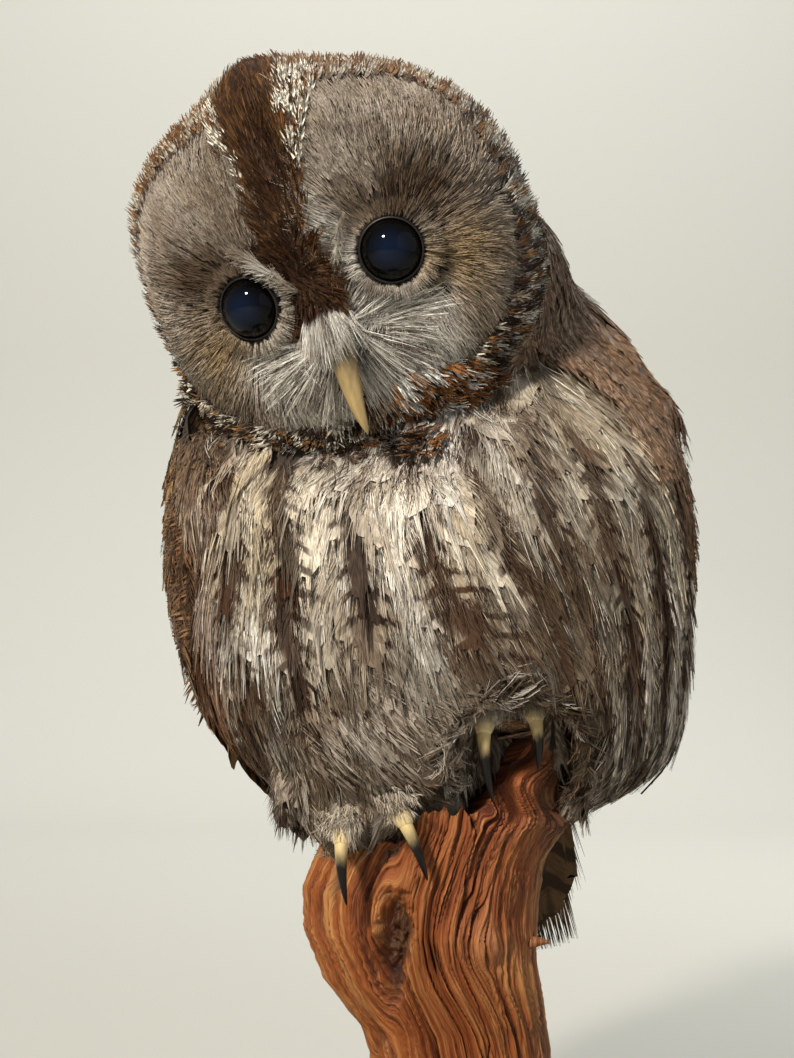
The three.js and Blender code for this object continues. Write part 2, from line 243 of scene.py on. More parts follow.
def smoothed(points, edges, rounds, share=0.5):
    count = np.bincount(edges.ravel(), minlength=len(points))[:, None]
    for _ in range(rounds):
        total = np.stack(
            [
                np.bincount(edges[:, 0], points[edges[:, 1], k], len(points))
                + np.bincount(edges[:, 1], points[edges[:, 0], k], len(points))
                for k in range(points.shape[1])
            ],
            1,
        )
        points = mix(points, total / np.maximum(count, 1), share)
    return points


def face_arrays(mesh):
    """A quad mesh's points, its faces, and its edges, as arrays."""
    points = np.empty(len(mesh.vertices) * 3, np.float32)
    mesh.vertices.foreach_get("co", points)
    quads = np.array([f.vertices[:] for f in mesh.polygons if len(f.vertices) == 4])
    edges = np.empty(len(mesh.edges) * 2, np.int32)
    mesh.edges.foreach_get("vertices", edges)
    return points.reshape(-1, 3).astype(float), quads, edges.reshape(-1, 2)


def vertex_normals(points, quads):
    across = np.cross(points[quads[:, 2]] - points[quads[:, 0]], points[quads[:, 3]] - points[quads[:, 1]])
    total = np.stack(
        [np.bincount(quads.ravel(), np.repeat(across[:, k], 4), len(points)) for k in range(3)], 1
    )
    return unit(total)


def build_skin():
    points, triangles, labels = [], [], []
    for index, name in enumerate(FLESH):
        p, t = solid_arrays(name)
        triangles.append(t + sum(map(len, points)))
        points.append(p)
        labels.append(np.full(len(t), index))
    points, triangles, labels = np.vstack(points), np.vstack(triangles), np.concatenate(labels)
    rough = make_mesh("rough_flesh", points, triangles)
    remesh = rough.modifiers.new("join", "REMESH")
    remesh.mode = "VOXEL"
    remesh.voxel_size = VOXEL
    graph = bpy.context.evaluated_depsgraph_get()
    joined = bpy.data.meshes.new_from_object(rough.evaluated_get(graph))
    bpy.data.objects.remove(rough)
    skin_points, quads, edges = face_arrays(joined)
    skin_points = smoothed(skin_points, edges, 8)
    solids = BVHTree.FromPolygons(points.tolist(), triangles.tolist())
    nearest = [solids.find_nearest(p)[2] for p in skin_points.tolist()]
    label = labels[np.array(nearest)]
    depth = np.array([COAT_DEPTH[name] for name in FLESH])[label] * MM
    depth = smoothed(depth[:, None], edges, 6)
    skin_points = skin_points - vertex_normals(skin_points, quads) * (depth + GROWTH)
    skin_points = smoothed(skin_points, edges, 6)
    used = np.unique(quads)
    return skin_points, quads, label, len(used)


skin_points, skin_quads, skin_label, _ = build_skin()
skin_normals = vertex_normals(skin_points, skin_quads)
skin_tree = BVHTree.FromPolygons(skin_points.tolist(), skin_quads.tolist())
print("skin", len(skin_points), len(skin_quads), "box", skin_points.min(0), skin_points.max(0))


def unwrap(piece):
    """A flat layout of the piece's own surface, one centre for each face."""
    bpy.context.view_layer.objects.active = piece
    piece.select_set(True)
    bpy.ops.object.mode_set(mode="EDIT")
    bpy.ops.mesh.select_all(action="SELECT")
    bpy.ops.uv.smart_project(angle_limit=math.radians(66), island_margin=0.004)
    bpy.ops.object.mode_set(mode="OBJECT")
    piece.select_set(False)
    piece.data.uv_layers.active.name = "OFBake"
    flat = np.empty(len(piece.data.loops) * 2, np.float32)
    piece.data.uv_layers["OFBake"].data.foreach_get("uv", flat)
    return flat.reshape(-1, 4, 2).mean(1)


skin = make_mesh("skin", skin_points, skin_quads)
skin_uv = unwrap(skin)
face_centre = skin_points[skin_quads].mean(1)
face_normal = unit(skin_normals[skin_quads].mean(1))
face_area = 0.5 * np.linalg.norm(
    np.cross(
        skin_points[skin_quads[:, 2]] - skin_points[skin_quads[:, 0]],
        skin_points[skin_quads[:, 3]] - skin_points[skin_quads[:, 1]],
    ),
    axis=1,
)
face_flesh = np.array(FLESH)[skin_label[skin_quads[:, 0]]]
face_in_head = to_head(face_centre)


# ---------- feathers laid flat ----------
class Flat:
    """One feather laid flat: x across in half-widths, y along in lengths, z up in millimetres.
    Aspect is its half-width over its length."""

    def __init__(self, aspect):
        self.aspect = aspect
        self.xyz, self.quads, self.fibre, self.count = [], [], [], 0

    def add(self, xyz, quads, fibre):
        self.xyz.append(xyz)
        self.quads.append(quads + self.count)
        self.fibre.append(fibre)
        self.count += len(xyz)

    def blade(self, x, y, half, z=0.0, roll=0.0):
        """A narrow strip along a line, half a breadth of so many lengths to each side.
        Roll is how far one of its edges stands over the middle."""
        dx, dy = np.gradient(x) * self.aspect, np.gradient(y)
        size = np.hypot(dx, dy) + 1e-9
        side_x, side_y = dy / size * half / self.aspect, -dx / size * half
        rows = len(x)
        along = np.concatenate([[0], np.cumsum(np.hypot(np.diff(x) * self.aspect, np.diff(y)))])
        xyz = np.stack(
            [
                np.stack([x - side_x, x + side_x], 1).ravel(),
                np.stack([y - side_y, y + side_y], 1).ravel(),
                np.tile([z - roll, z + roll], rows),
            ],
            1,
        )
        breadth = np.full(rows, 1.0) * half
        fibre = np.stack([np.stack([-breadth, breadth], 1).ravel() + self.count * 0.37, np.repeat(along, 2)], 1)
        self.add(xyz, grid_quads(rows, 2), fibre)

    def done(self):
        self.xyz = np.vstack(self.xyz)
        self.quads = np.vstack(self.quads)
        self.fibre = np.vstack(self.fibre)
        return self


def outline(y, widest=0.5, roundness=2.2):
    """A vane's half-width along its length: it opens from the quill and closes at the tip."""
    opening = np.clip(y / 0.3, 0, 1) ** 0.6
    closing = 1 - np.clip((y - widest) / (1.04 - widest), 0, 1) ** roundness
    return opening * closing


def barbed(aspect, barbs, sweep, looseness, breadth, roundness=2.2, segments=3, seed=0):
    """A soft feather: a shaft with separate barbs that sweep to its tip."""
    flat = Flat(aspect)
    pick = np.random.default_rng(seed)
    spacing = 0.93 / barbs
    k = np.linspace(0, 1, segments + 1)
    for hand in (-1, 1):
        for j in range(barbs):
            start = 0.02 + spacing * (j + 0.7 * pick.random())
            end = start + sweep * (1.15 - 0.75 * start) * pick.uniform(0.8, 1.15)
            wide = hand * outline(min(end, 1.0), roundness=roundness) * (1 + looseness * pick.normal())
            x = wide * k**0.9
            y = start + (end - start) * k**1.15
            y = y / max(1.0, end / 1.03)
            half = breadth * (1.1 - k**1.6)
            flat.blade(x, y, half, z=0.5 * pick.random(), roll=0.09 * pick.normal())
    shaft = np.linspace(0, 0.95, 5)
    flat.blade(shaft * 0, shaft, 0.007 * (1.2 - shaft), z=0.35)
    return flat.done()


def downy(aspect, fringe=22, breadth=0.0044, roundness=2.2, looseness=0.12, seed=0):
    """A soft feather: a close vane inside a fringe of free barbs that sweep to the tip."""
    flat = Flat(aspect)
    pick = np.random.default_rng(seed)
    y, x = np.meshgrid(np.linspace(0, 0.8, 6), np.linspace(-1, 1, 5), indexing="ij")
    wide = 0.66 * outline(y, roundness=roundness) * (1 + 0.1 * pick.normal(size=y.shape) * np.abs(x))
    along = y - 0.05 * x**2 + 0.03 * pick.normal(size=y.shape) * (y > 0.75)
    off_shaft = np.abs(x * wide) * aspect
    fibre = np.stack([(along - 2.5 * off_shaft) / 2.7, off_shaft * 2.5], 2).reshape(-1, 2)
    flat.add(np.stack([x * wide, along, 0.2 * pick.random(y.shape)], 2).reshape(-1, 3), grid_quads(6, 5), fibre)
    k = np.linspace(0, 1, 3)
    for hand in (-1, 1):
        for j in range(fringe):
            share = (j + pick.random()) / fringe
            start = 0.08 + 0.72 * share
            end = min(start + pick.uniform(0.26, 0.42), 1.05)
            inner = 0.5 * outline(start, roundness=roundness) * (1 - 0.7 * share)
            outer = outline(min(end, 0.97), roundness=roundness) * (1 + looseness * pick.normal())
            bx = hand * mix(inner, max(outer, 0.3 * pick.random()), k**0.8)
            by = start + (end - start) * k
            flat.blade(bx, by, breadth * (1.1 - k**1.8), z=0.2 + 0.45 * pick.random(), roll=0.06 * pick.normal())
    return flat.done()


def vane(aspect, rows=7, columns=5, widest=0.5, roundness=2.2, ragged=0.0, seed=0):
    """A firm feather: one close vane with a shaft."""
    flat = Flat(aspect)
    pick = np.random.default_rng(seed)
    y, x = np.meshgrid(np.linspace(0, 1, rows) ** 0.9, np.linspace(-1, 1, columns), indexing="ij")
    wide = outline(y, widest, roundness) * (1 + ragged * pick.normal(size=y.shape) * np.abs(x))
    tip = y - 0.05 * (x**2) * (y > 0.9)
    xyz = np.stack([(x * wide).ravel(), tip.ravel(), np.zeros(y.size)], 1)
    across = np.abs(x * wide).ravel() * aspect
    flat.add(xyz, grid_quads(rows, columns), np.stack([y.ravel() - across, across * 1.4], 1))
    shaft = np.linspace(0, 0.97, rows)
    flat.blade(shaft * 0, shaft, 0.005 * (1.15 - shaft), z=0.3)
    return flat.done()


def tuft(aspect, blades, breadth, segments=2, seed=0):
    """A lock of loose hair-like barbs from one root."""
    flat = Flat(aspect)
    pick = np.random.default_rng(seed)
    k = np.linspace(0, 1, segments + 1)
    for j in range(blades):
        spread = (j + 0.5) / blades * 2 - 1 + 0.3 * pick.normal() / blades
        reach = pick.uniform(0.65, 1.0)
        bend = 0.4 * pick.normal()
        x, half = spread * k + bend * k**2, breadth * (1 - 0.85 * k**1.5)
        flat.blade(x, reach * k, half, z=0.25 * pick.random(), roll=0.08 * pick.normal())
    return flat.done()


# ---------- planting ----------
def scatter(chosen, spacing):
    """Faces and points on them, spread evenly over the chosen faces of the skin."""
    faces = np.flatnonzero(chosen)
    area = face_area[faces]
    tries = int(7 * area.sum() / spacing**2) + 8
    face = rng.choice(faces, tries, p=area / area.sum())
    u, v = rng.random((2, tries, 1))
    a, b, c, d = (skin_points[skin_quads[face, k]] for k in range(4))
    points = mix(mix(a, b, u), mix(d, c, u), v)
    cells = np.floor(points / spacing).astype(np.int64)
    first = np.unique(cells, axis=0, return_index=True)[1]
    face, points = face[first], points[first]
    tree = KDTree(len(points))
    for i, p in enumerate(points.tolist()):
        tree.insert(p, i)
    tree.balance()
    keep = np.ones(len(points), bool)
    for i, p in enumerate(points.tolist()):
        if keep[i]:
            for _, j, _ in tree.find_range(p, 0.66 * spacing):
                if j > i:
                    keep[j] = False
    return face[keep], points[keep]


def on_tangent(v, normal):
    return unit(v - (v * normal).sum(1, keepdims=True) * normal)


def lay(points, normals, flow, length, rows, wrap):
    """The centre lines of feathers that lie along the skin: places and normals, row by row."""
    heading = on_tangent(flow(points), normals)
    places, ups = [points], [normals]
    step = (length / (rows - 1))[:, None]
    for _ in range(rows - 1):
        ahead = points + heading * step
        found = [skin_tree.find_nearest(p)[:2] for p in ahead.tolist()]
        on_skin = np.array([f[0] for f in found])
        up = np.array([f[1] for f in found])
        points = mix(ahead, on_skin, wrap)
        normals = unit(mix(normals, up, wrap))
        heading = on_tangent(mix(heading, on_tangent(flow(points), normals), 0.6 * wrap), normals)
        places.append(points)
        ups.append(normals)
    return np.stack(places, 1), np.stack(ups, 1)


def raised(template, places, ups, length, width, base, lift, camber=0.10, twist=None, curl=0.0):
    """Every feather's points: the template laid along each centre line and lifted off the skin.
    Base, lift and curl are millimetres at the root, at the tip, and of the tip's turn inwards."""
    rows = places.shape[1]
    along = np.gradient(places, axis=1)
    along = unit(along)
    across = unit(np.cross(along, ups))
    x, y, z = template.xyz.T
    at = np.clip(y, 0, 1) * (rows - 1)
    low = np.minimum(at.astype(int), rows - 2)
    share = (at - low)[None, :, None]

    def between(values):
        return mix(values[:, low], values[:, low + 1], share)

    up = between(ups)
    side = between(across)
    if twist is not None:
        c, s = np.cos(twist)[:, None, None], np.sin(twist)[:, None, None]
        side, up = side * c + up * s, up * c - side * s
    beyond = np.maximum(y - 1, 0)[None, :, None] * length[:, None, None]
    height = base[:, None] + lift[:, None] * y**1.3 + z - curl * y**3
    height = height * MM - camber * (x**2) * width[:, None]
    return (
        between(places)
        + between(along) * beyond
        + side * (x * width[:, None])[:, :, None]
        + up * height[:, :, None]
    )


class Coat:
    """The feathers of one piece, gathered as they are planted and made into one mesh."""

    def __init__(self, name, slot):
        self.name, self.slot = name, slot
        self.points, self.quads, self.uv, self.count = [], [], [], 0
        self.values = {key: [] for key in ("vane", "fibre", "light", "dark", "streak", "bars", "column")}

    def plant(self, template, points, root_uv, length, look):
        """Look holds, for each feather: light and dark colours, and the streak and bar settings."""
        feathers, corners = points.shape[:2]
        self.points.append(points.reshape(-1, 3))
        offset = self.count + np.arange(feathers) * corners
        self.quads.append((template.quads[None] + offset[:, None, None]).reshape(-1, 4))
        self.count += feathers * corners
        chance = rng.random(feathers)
        x, y, _ = template.xyz.T
        flat = np.ones((feathers, 1))
        self.values["vane"].append(np.stack([flat * x, flat * y, chance[:, None] + 0 * flat * x], 2))
        across, along = template.fibre.T
        scale = length[:, None] / MM
        self.values["fibre"].append(
            np.stack([across * scale + chance[:, None] * 61, along * scale, chance[:, None] + 0 * scale * x], 2)
        )
        for key in ("light", "dark", "streak", "bars"):
            self.values[key].append(np.repeat(look[key][:, None], corners, 1))
        column = np.zeros((feathers, corners, 3))
        if look["mark"].any():
            shift = rng.normal(size=(feathers, 1, 2)) * [0.05, 0.9]
            column[..., :2] = column_place(points.reshape(-1, 3)).reshape(feathers, corners, 2) + shift
            column[..., 2] = look["mark"][:, None]
        self.values["column"].append(column)
        patch = 0.003 * np.stack([x * 0.5, y - 0.5], 1)
        self.uv.append(root_uv[:, None] + np.clip(patch, -0.0015, 0.0015)[None])

    def build(self, material):
        quads = np.vstack(self.quads)
        values = {key: np.concatenate([v.reshape(-1, 3) for v in parts]) for key, parts in self.values.items()}
        piece = make_mesh(self.name, np.vstack(self.points), quads, values)
        uv = np.concatenate([u.reshape(-1, 2) for u in self.uv])
        layer = piece.data.uv_layers.new(name="OFBake")
        layer.data.foreach_set("uv", uv[quads.ravel()].astype(np.float32).ravel())
        print(self.name, "triangles", 2 * len(quads))
        return finish_piece(piece, self.slot, material)


# ---------- materials ----------
class Shader:
    """A material's nodes, written as expressions."""

    def __init__(self, name, roughness, specular=0.5, **constants):
        self.material = bpy.data.materials.new(name)
        self.material.use_nodes = True
        self.tree = self.material.node_tree
        self.surface = self.tree.nodes["Principled BSDF"]
        self.surface.inputs["Roughness"].default_value = roughness
        self.surface.inputs["Specular IOR Level"].default_value = specular
        for socket, value in constants.items():
            self.surface.inputs[socket.replace("_", " ")].default_value = value

    def put(self, socket, value):
        if isinstance(value, bpy.types.NodeSocket):
            self.tree.links.new(value, socket)
        elif isinstance(value, np.ndarray) and socket.type == "RGBA":
            socket.default_value = [*value, 1.0]
        else:
            socket.default_value = value

    def node(self, kind, *values, output=0, **settings):
        made = self.tree.nodes.new("ShaderNode" + kind)
        for key, value in settings.items():
            setattr(made, key, value)
        for socket, value in zip([s for s in made.inputs if s.enabled], values):
            if value is not None:
                self.put(socket, value)
        return [s for s in made.outputs if s.enabled][output]

    def math(self, operation, *values):
        return self.node("Math", *values, operation=operation)

    def mul(self, a, b):
        return self.math("MULTIPLY", a, b)

    def add(self, a, b):
        return self.math("ADD", a, b)

    def sub(self, a, b):
        return self.math("SUBTRACT", a, b)

    def ramp(self, x, low, high):
        """0 below low, 1 above high, smooth between. Low may be above high."""
        return self.node("MapRange", x, low, high, 0.0, 1.0, interpolation_type="SMOOTHSTEP")

    def attribute(self, name):
        return self.node("Attribute", output=1, attribute_name=name)

    def parts(self, vector):
        made = self.tree.nodes.new("ShaderNodeSeparateXYZ")
        self.tree.links.new(vector, made.inputs[0])
        return made.outputs[:]

    def scaled(self, vector, by):
        return self.node("VectorMath", vector, by, operation="MULTIPLY")

    def noise(self, vector, scale, detail=2.0, roughness=0.5):
        made = self.tree.nodes.new("ShaderNodeTexNoise")
        self.put(made.inputs["Vector"], vector)
        self.put(made.inputs["Scale"], scale)
        self.put(made.inputs["Detail"], detail)
        self.put(made.inputs["Roughness"], roughness)
        return made.outputs["Fac"]

    def blend(self, share, a, b):
        made = self.tree.nodes.new("ShaderNodeMix")
        made.data_type = "RGBA"
        for index, value in ((0, share), (6, a), (7, b)):
            self.put(made.inputs[index], value)
        return made.outputs[2]

    def tinted(self, base, factor):
        """A colour made lighter or darker by a number."""
        return self.node("VectorMath", base, factor, operation="SCALE")

    def bump(self, height, distance, strength=1.0):
        made = self.tree.nodes.new("ShaderNodeBump")
        made.inputs["Strength"].default_value = strength
        made.inputs["Distance"].default_value = distance
        self.tree.links.new(height, made.inputs["Height"])
        self.tree.links.new(made.outputs[0], self.surface.inputs["Normal"])

    def colour(self, value):
        self.put(self.surface.inputs["Base Color"], value)
        return self.material


DOWN = colour(0x5A5048)  # the grey down under every feather


# ---------- colours of the plumage ----------
CREAM = colour(0xE4DECC)
WHITE = colour(0xF2F0E8)
BUFF = colour(0xAE9468)
ASH = colour(0x9A9084)
PALE = colour(0xCFC7BA)
FAWN = colour(0x8C7860)
UMBER = colour(0x4A3624)
RUFOUS = colour(0x7C4A24)
CHESTNUT = colour(0x4A2A14)
SOOT = colour(0x24170E)
GOLDEN = colour(0x8A6238)
COLUMN_SPACING = 17.0  # mm between the dark columns of the breast


def plumage(name, fibre_fineness=1.0, fibre_contrast=0.5, roughness=0.7):
    s = Shader(name, roughness, 0.12, Sheen_Weight=0.03, Sheen_Roughness=0.5)
    x, y, chance = s.parts(s.attribute("vane"))
    across = s.math("ABSOLUTE", x)
    fibre = s.attribute("fibre")
    hairs = s.noise(s.scaled(fibre, (3.2 * fibre_fineness, 0.22, 9.0)), 1.0, 3.0, 0.65)
    wavy = s.noise(s.scaled(s.attribute("vane"), (1.6, 4.0, 37.0)), 1.0, 1.0)
    ragged = s.sub(s.add(s.mul(hairs, 0.6), s.mul(wavy, 0.9)), 0.75)
    width, strength, mottle = s.parts(s.attribute("streak"))
    count, bar_strength, slant = s.parts(s.attribute("bars"))
    reach = s.mul(width, s.ramp(y, 0.05, 0.75))
    edge = s.add(s.sub(across, reach), s.mul(ragged, 0.45))
    streak = s.mul(s.ramp(edge, 0.16, -0.06), strength)
    phase = s.sub(s.mul(y, count), s.mul(across, slant))
    wave = s.math("SINE", s.mul(s.add(phase, s.mul(wavy, 0.5)), 2 * math.pi))
    bar = s.mul(s.ramp(s.add(wave, s.mul(ragged, 0.9)), 0.1, 0.55), bar_strength)
    speckle = s.mul(s.ramp(s.noise(s.scaled(s.attribute("vane"), (4.0, 9.0, 53.0)), 1.0, 2.0), 0.5, 0.62), mottle)
    ink = s.math("MAXIMUM", s.math("MAXIMUM", streak, bar), speckle)
    # The dark columns of the breast and belly, with bars that slope away from them.
    column, down, mark = s.parts(s.attribute("column"))
    beside = s.mul(s.math("PINGPONG", column, 0.5), COLUMN_SPACING)
    torn = s.add(beside, s.mul(ragged, 3.2))
    stripe = s.ramp(torn, 3.6, 1.8)
    rung = s.math("SINE", s.mul(s.add(s.mul(down, 1 / 6.5), s.mul(beside, 0.14)), 2 * math.pi))
    rung = s.mul(s.ramp(s.add(rung, s.mul(ragged, 1.2)), 0.1, 0.7), s.ramp(torn, 7.6, 4.2))
    ink = s.math("MAXIMUM", ink, s.mul(s.math("MAXIMUM", stripe, rung), mark))
    warmed = s.mul(s.mul(s.ramp(torn, 8.0, 2.0), mark), 0.5)
    light = s.blend(warmed, s.attribute("light"), FAWN)
    base = s.blend(ink, light, s.attribute("dark"))
    # Towards the quill each feather goes to the grey down, darkened further as painted shade where the feathers lie
    # over one another.
    base = s.blend(s.ramp(y, 0.35, 0.0), base, DOWN * 0.6)
    shade = s.add(s.mul(hairs, fibre_contrast * 2), 1 - fibre_contrast)
    shade = s.mul(shade, s.add(s.mul(chance, 0.24), 0.88))
    s.bump(hairs, 0.0003, 0.5)
    return s.colour(s.tinted(base, shade))


def looks(n, light, dark, streak, bars, mark=0.0):
    """The settings of n feathers; each may be one value for all or one for each feather.
    Mark is how strongly the breast's dark columns show on them."""
    wide = {"light": light, "dark": dark, "streak": streak, "bars": bars}
    found = {key: np.broadcast_to(np.asarray(value, float), (n, 3)).copy() for key, value in wide.items()}
    found["mark"] = np.broadcast_to(np.asarray(mark, float), n).copy()
    return found


def columns(*values):
    n = max(np.size(v) for v in values)
    return np.stack([np.broadcast_to(np.asarray(v, float), n) for v in values], 1)


def patchy(p, size, seed):
    """Noise from 0 to 1 over the bird, in patches of so many millimetres."""
    return smooth(layered(p / (size * MM), seed, 2), 0.3, 0.7)[:, None]


def some(n, share):
    """A chance for each of n feathers: 1 for this share of them, 0 for the rest."""
    return (rng.random(n) < share).astype(float)


def plant_along(coat, template, face, places, ups, size, look, base, lift, **form):
    shape = raised(template, places, ups, size, size * template.aspect, base, lift, **form)
    coat.plant(template, shape, skin_uv[face], size, look)


def stand(coat, template, root, heading, up, size, look, rows=4, **form):
    """Feathers that stand on straight lines from their roots, for the few places with no skin under them."""
    heading = unit(heading)
    share = np.linspace(0, 1, rows)[None, :, None]
    places = root[:, None] + share * heading[:, None] * size[:, None, None]
    ups = np.broadcast_to(on_tangent(up, heading)[:, None], places.shape)
    face = np.array([skin_tree.find_nearest(p)[2] for p in root.tolist()])
    zero = np.zeros(len(root))
    plant_along(coat, template, face, places, ups, size, look(root), zero + 0.2, zero + 0.5, **form)


def grow(coat, chosen, spacing, templates, length, flow, look, base=0.3, lift=3.0, wrap=0.8, rows=6, curl=0.0):
    """Covers the chosen faces with feathers. Lengths and heights are in millimetres."""
    face, points = scatter(chosen, spacing * MM)
    size = rng.uniform(*length, len(points)) * MM
    look = look(points)
    which = rng.integers(len(templates), size=len(points))
    for k, template in enumerate(templates):
        pick = np.flatnonzero(which == k)
        n = len(pick)
        if n == 0:
            continue
        places, ups = lay(points[pick], face_normal[face[pick]], flow, size[pick], rows, wrap)
        heights = base + 0.4 * rng.random(n), lift * rng.uniform(0.7, 1.3, n)
        own_look = {key: v[pick] for key, v in look.items()}
        twist = 0.16 * rng.normal(size=n)
        plant_along(coat, template, face[pick], places, ups, size[pick], own_look, *heights, twist=twist, curl=curl)


def hang(coat, chosen, spacing, templates, length, look):
    """Feathers that hang straight down from faces that look down, turned to the front."""
    _, root = scatter(chosen, spacing * MM)
    which = rng.integers(len(templates), size=len(root))
    for k, template in enumerate(templates):
        own = root[which == k]
        heading = np.array([0.05, -0.15, -1]) + 0.13 * rng.normal(size=own.shape)
        size = rng.uniform(*length, len(own)) * MM
        stand(coat, template, own, heading, np.broadcast_to([0.0, -1.0, 0.0], own.shape), size, look, curl=1.0)


# ---------- the lie of the coat ----------
BILL_ROOT = np.array([1.8, 36, -14]) * MM


def stray(flow, amount, size, seed):
    """A flow that wanders a little from place to place, over so many millimetres."""

    def wandering(p):
        q = p / (size * MM)
        away = np.stack([layered(q, seed + 7 * k, 2) for k in range(3)], 1) - 0.5
        return unit(flow(p)) + 2 * amount * away

    return wandering


def flow_disc(p):
    away, _ = from_eye(to_head(p))
    return head_vector(np.stack([away[:, 0], 0 * away[:, 0], away[:, 1]], 1))


def flow_head(p):
    return head_vector(to_head(p) - BILL_ROOT)


def flow_body(p):
    x, y, z = (p / MM).T
    back = smooth(y, 20, 70)
    side = 0.08 + 0.20 * bell(x - 5, 40) * smooth(z, 260, 200)
    side = side + 0.50 * smooth(z, 225, 290) * np.clip((x + 15) / 70, -1, 1)
    side = side + 0.45 * bell(x - 16, 20) * bell(z - 228, 28) - 0.30 * smooth(x, 50, 80)
    under = smooth(z, 185, 160)
    front = np.stack([side, 0.35 * under, -1 + 0 * x], 1)
    rear = np.stack([0.10 - 0.004 * x, 0.55 + 0 * x, -0.85 + 0 * x], 1)
    return mix(front, rear, back[:, None])


def flow_to(*target):
    return lambda p: np.array(target) * MM - p


def flow_down(p):
    return np.broadcast_to([0.0, -0.15, -1.0], p.shape)


# ---------- where each kind of feather grows ----------
away, _ = from_eye(face_in_head)
eye_distance = np.linalg.norm(np.stack([away[:, 0], away[:, 1], face_in_head[:, 1] - 28.5 * MM], 1), axis=1)
across, forward, up = (face_in_head / MM).T
ring = face_ring(face_in_head)
on_head = (face_flesh == "head") & (eye_distance > 10.0 * MM)
near_bill = np.linalg.norm(face_in_head - BILL_ROOT, axis=1) < 3 * MM
# The dark wedge from the crown to the bill: its middle and half-width at each height.
WEDGE_UP = [-17, -13, -2, 7, 17, 27, 45, 60]
WEDGE_MIDDLE = [-0.5, -1.2, -2.0, -2.6, -1.0, 1.0, 0.5, 0.0]
WEDGE_HALF = [1.0, 5.0, 6.6, 6.0, 6.0, 6.5, 7.2, 9.0]
from_wedge = np.abs(across - np.interp(up, WEDGE_UP, WEDGE_MIDDLE)) - np.interp(up, WEDGE_UP, WEDGE_HALF)
in_wedge = on_head & (from_wedge < 0) & (forward > -5)
row_width = np.where(across > 0, np.interp(up, [24, 32, 42, 54], [0, 2.5, 7, 12]), np.interp(up, [24, 34, 48], [0, 1.5, 5]))
in_row = on_head & ~in_wedge & (from_wedge < row_width) & (forward > 8) & (up < 52)
in_chin = on_head & (np.hypot((across - 15) / 15, (up + 41.5) / 11) < 1) & (forward > -2)
in_front = on_head & (forward > 1) & (ring < 1.02) & ~in_chin
in_disc = in_front & ~in_wedge & ~in_row & (ring < 0.93) & ~near_bill
in_rim = on_head & ~in_wedge & ~in_row & ~in_disc & ~in_chin & (ring < 1.1) & (forward > -6) & ~near_bill
in_crown = on_head & ~in_wedge & ~in_row & ~in_disc & ~in_rim & ~in_chin & ~near_bill
from_bill = np.hypot(across - 1.8, up + 12)
in_bristles = in_front & ~near_bill & ~in_wedge & (from_bill < 18) & (up < -4)
body_x, body_y, body_z = (face_centre / MM).T
on_trunk = (face_flesh == "trunk") | (face_flesh == "neck")
above_breast = (body_x > 20) & (body_z > 306 - 1.14 * (body_x - 24.6))
in_back = on_trunk & ((face_normal[:, 1] > 0.1) | above_breast)
in_breast = on_trunk & ~in_back & (body_z > 225)
at_brink = (body_z < 220) & (np.abs(body_x - 18) < 28)
near_feet = (face_normal[:, 2] < -0.5) | ((body_z < 212) & (np.abs(body_x - 18) < 28))
in_belly = on_trunk & ~in_back & ~in_breast & ~(near_feet & (face_normal[:, 2] < -0.5) & (np.abs(body_x - 8) < 34))
in_fringe = in_belly & (body_z < 192) & ((body_x > 44) | (body_x < -48))
on_leg = np.char.startswith(face_flesh, "leg") | np.char.startswith(face_flesh, "foot")


def disc_look(p):
    q = to_head(p)
    away, left = from_eye(q)
    x, up = away.T / MM
    outward = np.where(left, x, -x)
    n = len(p)
    tone = patchy(p, 4, 3)
    light = mix(ASH, PALE, 0.5 * tone) * np.ones((n, 1))
    light = mix(light, FAWN, 0.5 * patchy(p, 9, 5))
    dark = mix(UMBER, FAWN, 0.25) * np.ones((n, 1))
    ochre = (bell(outward - 12, 8) * bell(up + 7, 8))[:, None]
    pale = smooth(-up, 5, 14)[:, None] * smooth(14 - outward, 0, 12)[:, None]
    brow = (bell(outward + 8 + 0.36 * up, 4) * smooth(up, -6, 2) * smooth(30 - up, 0, 12))[:, None]
    dusk = (bell(outward - 9, 11) * bell(up - 11, 7))[:, None]
    low = (smooth(-up, 20, 32) * smooth(outward, -4, 10))[:, None]
    light = mix(light, BUFF, 0.75 * ochre)
    light = mix(light, WHITE, np.clip(0.6 * pale + 0.6 * brow, 0, 1))
    light = mix(light, UMBER, np.clip(1.2 * dusk, 0, 0.92))
    light = mix(light, FAWN, 0.35 * low)
    mottle = 0.75 * (1 - 0.6 * pale[:, 0]) * (1 - 0.8 * brow[:, 0])
    return looks(n, light, dark, columns(0.0, 0.0, mottle), columns(2.0, 0.5 * mottle * rng.random(n), 0.0))


def bristle_look(p):
    n = len(p)
    pale = mix(ASH, WHITE, rng.random((n, 1)) ** 0.5)
    light = np.where(rng.random((n, 1)) < 0.14, UMBER, pale)
    return looks(n, light, SOOT, columns(0, 0, 0.25 + 0 * pale[:, 0]), columns(2, 0, 0))


def wedge_look(p):
    n = len(p)
    tone = patchy(p, 3.5, 7)
    q = to_head(p) / MM
    edge = smooth(np.abs(q[:, 0] - np.interp(q[:, 2], WEDGE_UP, WEDGE_MIDDLE)), 2, 7)[:, None]
    # Golden patches and edges: partly the tufts' own golden brown, partly painted highlight where tufts catch the
    # light.
    light = mix(mix(CHESTNUT, UMBER, 0.4), GOLDEN, np.clip(0.7 * patchy(p, 1.8, 9) * tone + 0.5 * edge, 0, 1))
    return looks(n, light, SOOT, columns(0.45 + 0 * tone[:, 0], 0.8, 0.25), columns(2.0, 0.3, 0.3))


def row_look(p):
    n = len(p)
    white = some(n, 0.55)[:, None]
    light = mix(mix(UMBER, RUFOUS, rng.random((n, 1))), CREAM, white)
    return looks(n, light, SOOT, columns(0.16, 0.9, 0.0 * white[:, 0]), columns(2.2, 0.7, 0.5))


